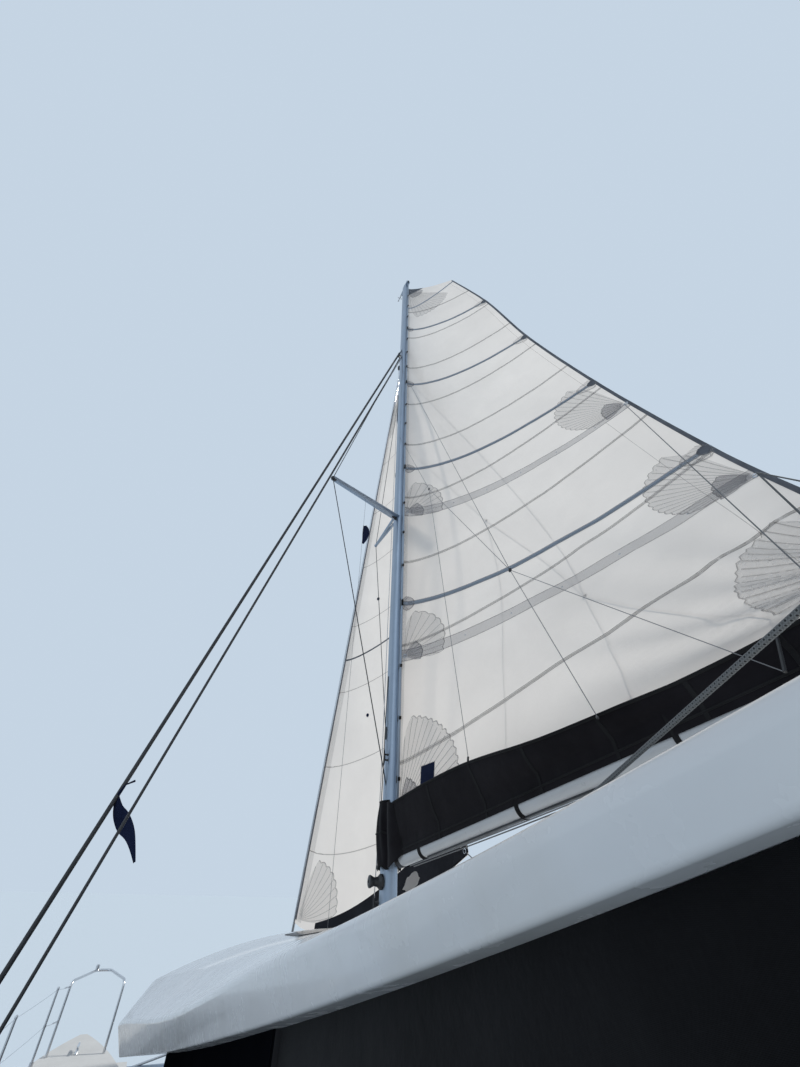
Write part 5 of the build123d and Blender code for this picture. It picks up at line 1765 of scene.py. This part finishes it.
def swell(obj):
    """Cloth blown up by pressure with no gravity, kept as the mesh."""
    cloth = obj.modifiers.new("cloth", "CLOTH")
    cloth.settings.quality = 5
    cloth.settings.tension_stiffness = 30
    cloth.settings.compression_stiffness = 30
    cloth.settings.bending_stiffness = 0.6
    cloth.settings.use_pressure = True
    cloth.settings.uniform_pressure_force = 4
    cloth.settings.effector_weights.gravity = 0
    cloth.collision_settings.use_collision = False
    cloth.point_cache.frame_start = 1
    cloth.point_cache.frame_end = LAST_FRAME
    for step in range(1, LAST_FRAME + 1):
        bpy.context.scene.frame_set(step)
    bake(obj)


def cushion(name, low, high, fill):
    """Closed cover swollen as cloth, then crowned on top and pulled in between its corners."""
    bm = bmesh.new()
    bmesh.ops.create_cube(bm, size=1.0)
    size = [high[i] - low[i] - 2 * TUCK for i in range(3)]
    mid = Vector((high[i] + low[i]) / 2 for i in range(3))
    for v in bm.verts:
        v.co = Vector(v.co[i] * size[i] for i in range(3)) + mid
    bmesh.ops.bevel(bm, geom=list(bm.edges), offset=0.018, segments=3, affect="EDGES", profile=0.6)
    mesh = bpy.data.meshes.new(name)
    bm.to_mesh(mesh)
    bm.free()
    obj = bpy.data.objects.new(name, mesh)
    bpy.context.scene.collection.objects.link(obj)
    remesh = obj.modifiers.new("even", "REMESH")
    remesh.mode = "VOXEL"
    remesh.voxel_size = VOXEL
    bake(obj)
    rest = [v.co.copy() for v in obj.data.vertices]
    swell(obj)
    floor = low[2] + 0.002
    for v, was in zip(obj.data.vertices, rest):
        move = v.co - was
        if move.length > MOST_SWELL:
            v.co = was + move * (MOST_SWELL / move.length)
        s = [2 * (v.co[i] - mid[i]) / (high[i] - low[i]) for i in range(3)]
        crown = max(0.0, 1 - s[0] ** 4) * max(0.0, 1 - s[1] ** 4)
        v.co.z += 0.010 * crown if s[2] > 0 else 0.0
        for k in (0, 1):
            v.co[k] -= math.copysign(0.008 * (1 - s[1 - k] ** 2) * abs(s[k]) ** 3, s[k])
        pucker = noise.noise(Vector((v.co.x * 9, v.co.y * 9, 2.0))) * 0.0022
        v.co.z = max(floor, v.co.z + (pucker if s[2] > 0 else 0.0))
    finer = obj.modifiers.new("finer", "SUBSURF")
    finer.levels = 1
    finer.render_levels = 1
    bake(obj)
    obj.data.materials.clear()
    obj.data.materials.append(CUSHION)
    for face in obj.data.polygons:
        face.use_smooth = True
    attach(obj, "root")
    return obj


def bake(obj):
    """Keep what the modifiers make of the mesh, and drop them."""
    bpy.context.view_layer.update()
    graph = bpy.context.evaluated_depsgraph_get()
    mesh = bpy.data.meshes.new_from_object(obj.evaluated_get(graph))
    obj.modifiers.clear()
    obj.data = mesh


PIPING_INSET = 0.010


def piping(shape, low, high, z):
    """Sewn cord round a cushion's planned outline, pulled in between its corners."""
    points = []
    x0, y0 = low[0] + PIPING_INSET, low[1] + PIPING_INSET
    x1, y1 = high[0] - PIPING_INSET, high[1] - PIPING_INSET
    cx, cy = (x0 + x1) / 2, (y0 + y1) / 2
    for t in circle(96):
        c, s = math.cos(t), math.sin(t)
        x = cx + (x1 - x0) / 2 * math.copysign(abs(c) ** 0.12, c)
        y = cy + (y1 - y0) / 2 * math.copysign(abs(s) ** 0.12, s)
        u, w = 2 * (x - cx) / (x1 - x0), 2 * (y - cy) / (y1 - y0)
        x -= math.copysign(0.007 * (1 - w * w) * abs(u) ** 3, u)
        y -= math.copysign(0.007 * (1 - u * u) * abs(w) ** 3, w)
        points.append((x, y, z))
    shape.tube(points + points[:1], 0.0055, 8, caps=False)


# Cushions: name, low corner and high corner
SEAT_TOP = 1.4003
CUSHIONS = [("side_cushion_fore", (-2.70, 0.925, SEAT_TOP), (-1.925, 1.435, 1.480)),
            ("side_cushion_aft", (-3.49, 0.925, SEAT_TOP), (-2.715, 1.435, 1.480)),
            ("aft_cushion_port", (-4.125, 0.60, SEAT_TOP), (-3.52, 1.405, 1.480)),
            ("aft_cushion_middle", (-4.125, -0.13, SEAT_TOP), (-3.52, 0.59, 1.480)),
            ("aft_cushion_starboard", (-4.125, -0.87, SEAT_TOP), (-3.52, -0.14, 1.480))]
HELM_PAD = ((-3.14, -1.385, 1.6403), (-2.81, -0.855, 1.705))


def cushions():
    seams = Shape()
    for name, low, high in CUSHIONS:
        cushion(name, low, high, 0.75)
        piping(seams, low, high, high[2] - 0.010)
        piping(seams, low, high, low[2] + 0.016)
    cushion("helm_seat_pad", *HELM_PAD, 0.8)
    piping(seams, *HELM_PAD, HELM_PAD[1][2] - 0.010)
    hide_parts("cockpit_cushions")
    seams.make("cushion_piping", PIPING, "root", "cushion_cloth")


# Stage
FLOOR_COLOUR = (0.624, 0.731, 0.831)
SKY_LIGHT = (0.80, 0.88, 1.0)
SKY_SHOWN = (0.56, 0.66, 0.77)


def add_floor():
    """Pale floor at the waterline, large enough for any view."""
    bm = bmesh.new()
    bmesh.ops.create_grid(bm, x_segments=2, y_segments=2, size=400.0)
    mesh = bpy.data.meshes.new("floor")
    bm.to_mesh(mesh)
    bm.free()
    floor = bpy.data.objects.new("floor", mesh)
    bpy.context.scene.collection.objects.link(floor)
    mat = base_material("floor_paper", FLOOR_COLOUR, 0.95)
    mesh.materials.append(mat)


def add_world():
    """Even pale light, and a pale ground behind the boat for the eye and for gloss."""
    world = bpy.data.worlds.new("studio")
    bpy.context.scene.world = world
    world.use_nodes = True
    tree = world.node_tree
    for node in list(tree.nodes):
        tree.nodes.remove(node)
    out = tree.nodes.new("ShaderNodeOutputWorld")
    soft = tree.nodes.new("ShaderNodeBackground")
    soft.inputs["Color"].default_value = (*SKY_LIGHT, 1)
    soft.inputs["Strength"].default_value = 0.42
    shown = tree.nodes.new("ShaderNodeBackground")
    shown.inputs["Color"].default_value = (*SKY_SHOWN, 1)
    shown.inputs["Strength"].default_value = 1.0
    path = tree.nodes.new("ShaderNodeLightPath")
    mix = tree.nodes.new("ShaderNodeMixShader")
    seen = path.outputs["Is Camera Ray"]
    for ray in ("Is Glossy Ray", "Is Transmission Ray"):
        either = tree.nodes.new("ShaderNodeMath")
        either.operation = "MAXIMUM"
        tree.links.new(seen, either.inputs[0])
        tree.links.new(path.outputs[ray], either.inputs[1])
        seen = either.outputs[0]
    tree.links.new(seen, mix.inputs["Fac"])
    tree.links.new(soft.outputs[0], mix.inputs[1])
    tree.links.new(shown.outputs[0], mix.inputs[2])
    tree.links.new(mix.outputs[0], out.inputs["Surface"])


def add_lamp(name, direction, strength, angle, colour):
    data = bpy.data.lights.new(name, "SUN")
    data.energy = strength
    data.angle = math.radians(angle)
    data.color = colour
    lamp = bpy.data.objects.new(name, data)
    lamp.rotation_euler = Vector(direction).to_track_quat("Z", "Y").to_euler()
    bpy.context.scene.collection.objects.link(lamp)


def add_camera():
    cos_p, sin_p = math.cos(LOOK_PITCH), math.sin(LOOK_PITCH)
    ahead = Vector((math.cos(LOOK_YAW), -math.sin(LOOK_YAW), 0))
    right = Vector((-math.sin(LOOK_YAW), -math.cos(LOOK_YAW), 0))
    look = ahead * cos_p + UP * sin_p
    top = UP * cos_p - ahead * sin_p
    heel = Matrix.Rotation(-HEEL, 3, "X")
    axes = [heel @ right, heel @ top, heel @ -look]
    matrix = Matrix([[axes[c][r] for c in range(3)] for r in range(3)]).to_4x4()
    matrix.translation = EYE
    data = bpy.data.cameras.new("camera")
    data.sensor_width = SENSOR
    data.lens = FOCAL_PIXELS / PHOTO_TALL * SENSOR
    data.clip_start = 0.02
    data.clip_end = 1000
    camera = bpy.data.objects.new("camera", data)
    camera.matrix_world = matrix
    bpy.context.scene.collection.objects.link(camera)
    bpy.context.scene.camera = camera


bpy.context.scene.view_settings.view_transform = "Standard"
add_floor()
add_world()
add_lamp("sun", (-0.05, -0.74, 0.62), 2.5, 5.0, (1.0, 0.95, 0.87))
add_lamp("fill", (-0.5, 0.7, 0.5), 0.22, 40.0, (0.85, 0.92, 1.0))
add_camera()


# The dressed boat
PAINT_TOP = 0.055
STRIPE_TOP = 0.115
LEVEL_ENOUGH = 0.8
WINDOW_FOOT = 1.56
make_roof()


def hull_finish(centre, normal):
    """Bottom paint, boot stripe, topsides, and nonskid on what can be walked on."""
    if normal.z > LEVEL_ENOUGH and centre.z > 0.2:
        return 3
    return 0 if centre.z < PAINT_TOP else 1 if centre.z < STRIPE_TOP else 2


def upper_face(centre, normal):
    return 1 if normal.z > LEVEL_ENOUGH else 0


def side_finish(centre, normal):
    """Black between the side windows, white below them and inside."""
    return 1 if centre.z > WINDOW_FOOT and abs(centre.y) > 1.46 else 0


for hull_name in ("port_hull", "starboard_hull"):
    copy_mesh(hull_name, hull_name + "_skin", [ANTIFOUL, NAVY_STRIPE, WHITE, NONSKID],
              cuts=(PAINT_TOP, STRIPE_TOP), bevel=0.012, slot_of=hull_finish)
copy_mesh("bridgedeck", "bridgedeck_skin", [WHITE, NONSKID], bevel=0.010, slot_of=upper_face)
copy_mesh("cockpit_table", "cockpit_table_skin", [WHITE, WOOD], bevel=0.006, slot_of=upper_face)
for white in ("coamings", "cockpit_seats", "helm_console", "port_engine_lid", "starboard_engine_lid",
              "cabin_front", "aft_bulkhead", "hardtop_posts", "helm_seat"):
    copy_mesh(white, white + "_skin", [WHITE], bevel=0.008)
for side_wall in ("port_cabin_side", "starboard_cabin_side"):
    copy_mesh(side_wall, side_wall + "_skin", [WHITE, BLACK], cuts=(WINDOW_FOOT,), bevel=0.008,
              slot_of=side_finish)
for dark in ("port_deck_hatch", "starboard_deck_hatch", "deck_hatch_frames", "saloon_door"):
    copy_mesh(dark, dark + "_skin", [GLASS if dark.endswith("deck_hatch") else BLACK], bevel=0.004)
make_mainsail()
make_jib()
make_boom()
boom_fittings()
make_bag()
make_bag_bridge(make_collar())
lazy_jacks()
reef_lines()
thick_rope()
mast_gear()
masthead()
spreader_gear()
flag_halyard()
shroud_tell_tale()
rigging_screws()
jib_gear()
guard_wires()
hull_windows()
deck_fittings()
woven_nets()
helm_details()
main_sheet()
cushions()

FINISH = {
    "gelcoat": WHITE, "keel_paint": ANTIFOUL, "drive_metal": GREY, "bronze": BRONZE, "engine_paint": GREY,
    "dark_acrylic": GLASS, "screen_cloth": SHADE_SCREEN, "mast_alloy": ALLOY, "stainless": STEEL, "sailcloth": SAIL,
    "bag_cloth": BAG, "net_cord": WHITE_LINE, "cushion_cloth": CUSHION, "wood_trim": WOOD,
}
OWN_FINISH = {"shrouds": WIRE, "diamond_stays": WIRE, "jumper_stays": WIRE,
              "winches": BLACK, "port_side_glass": SIDE_GLASS, "starboard_side_glass": SIDE_GLASS}
for name, slot_name in SLOT_OF.items():
    mesh = NODES[name].data
    mesh.materials.clear()
    mesh.materials.append(OWN_FINISH.get(name, FINISH[slot_name]))
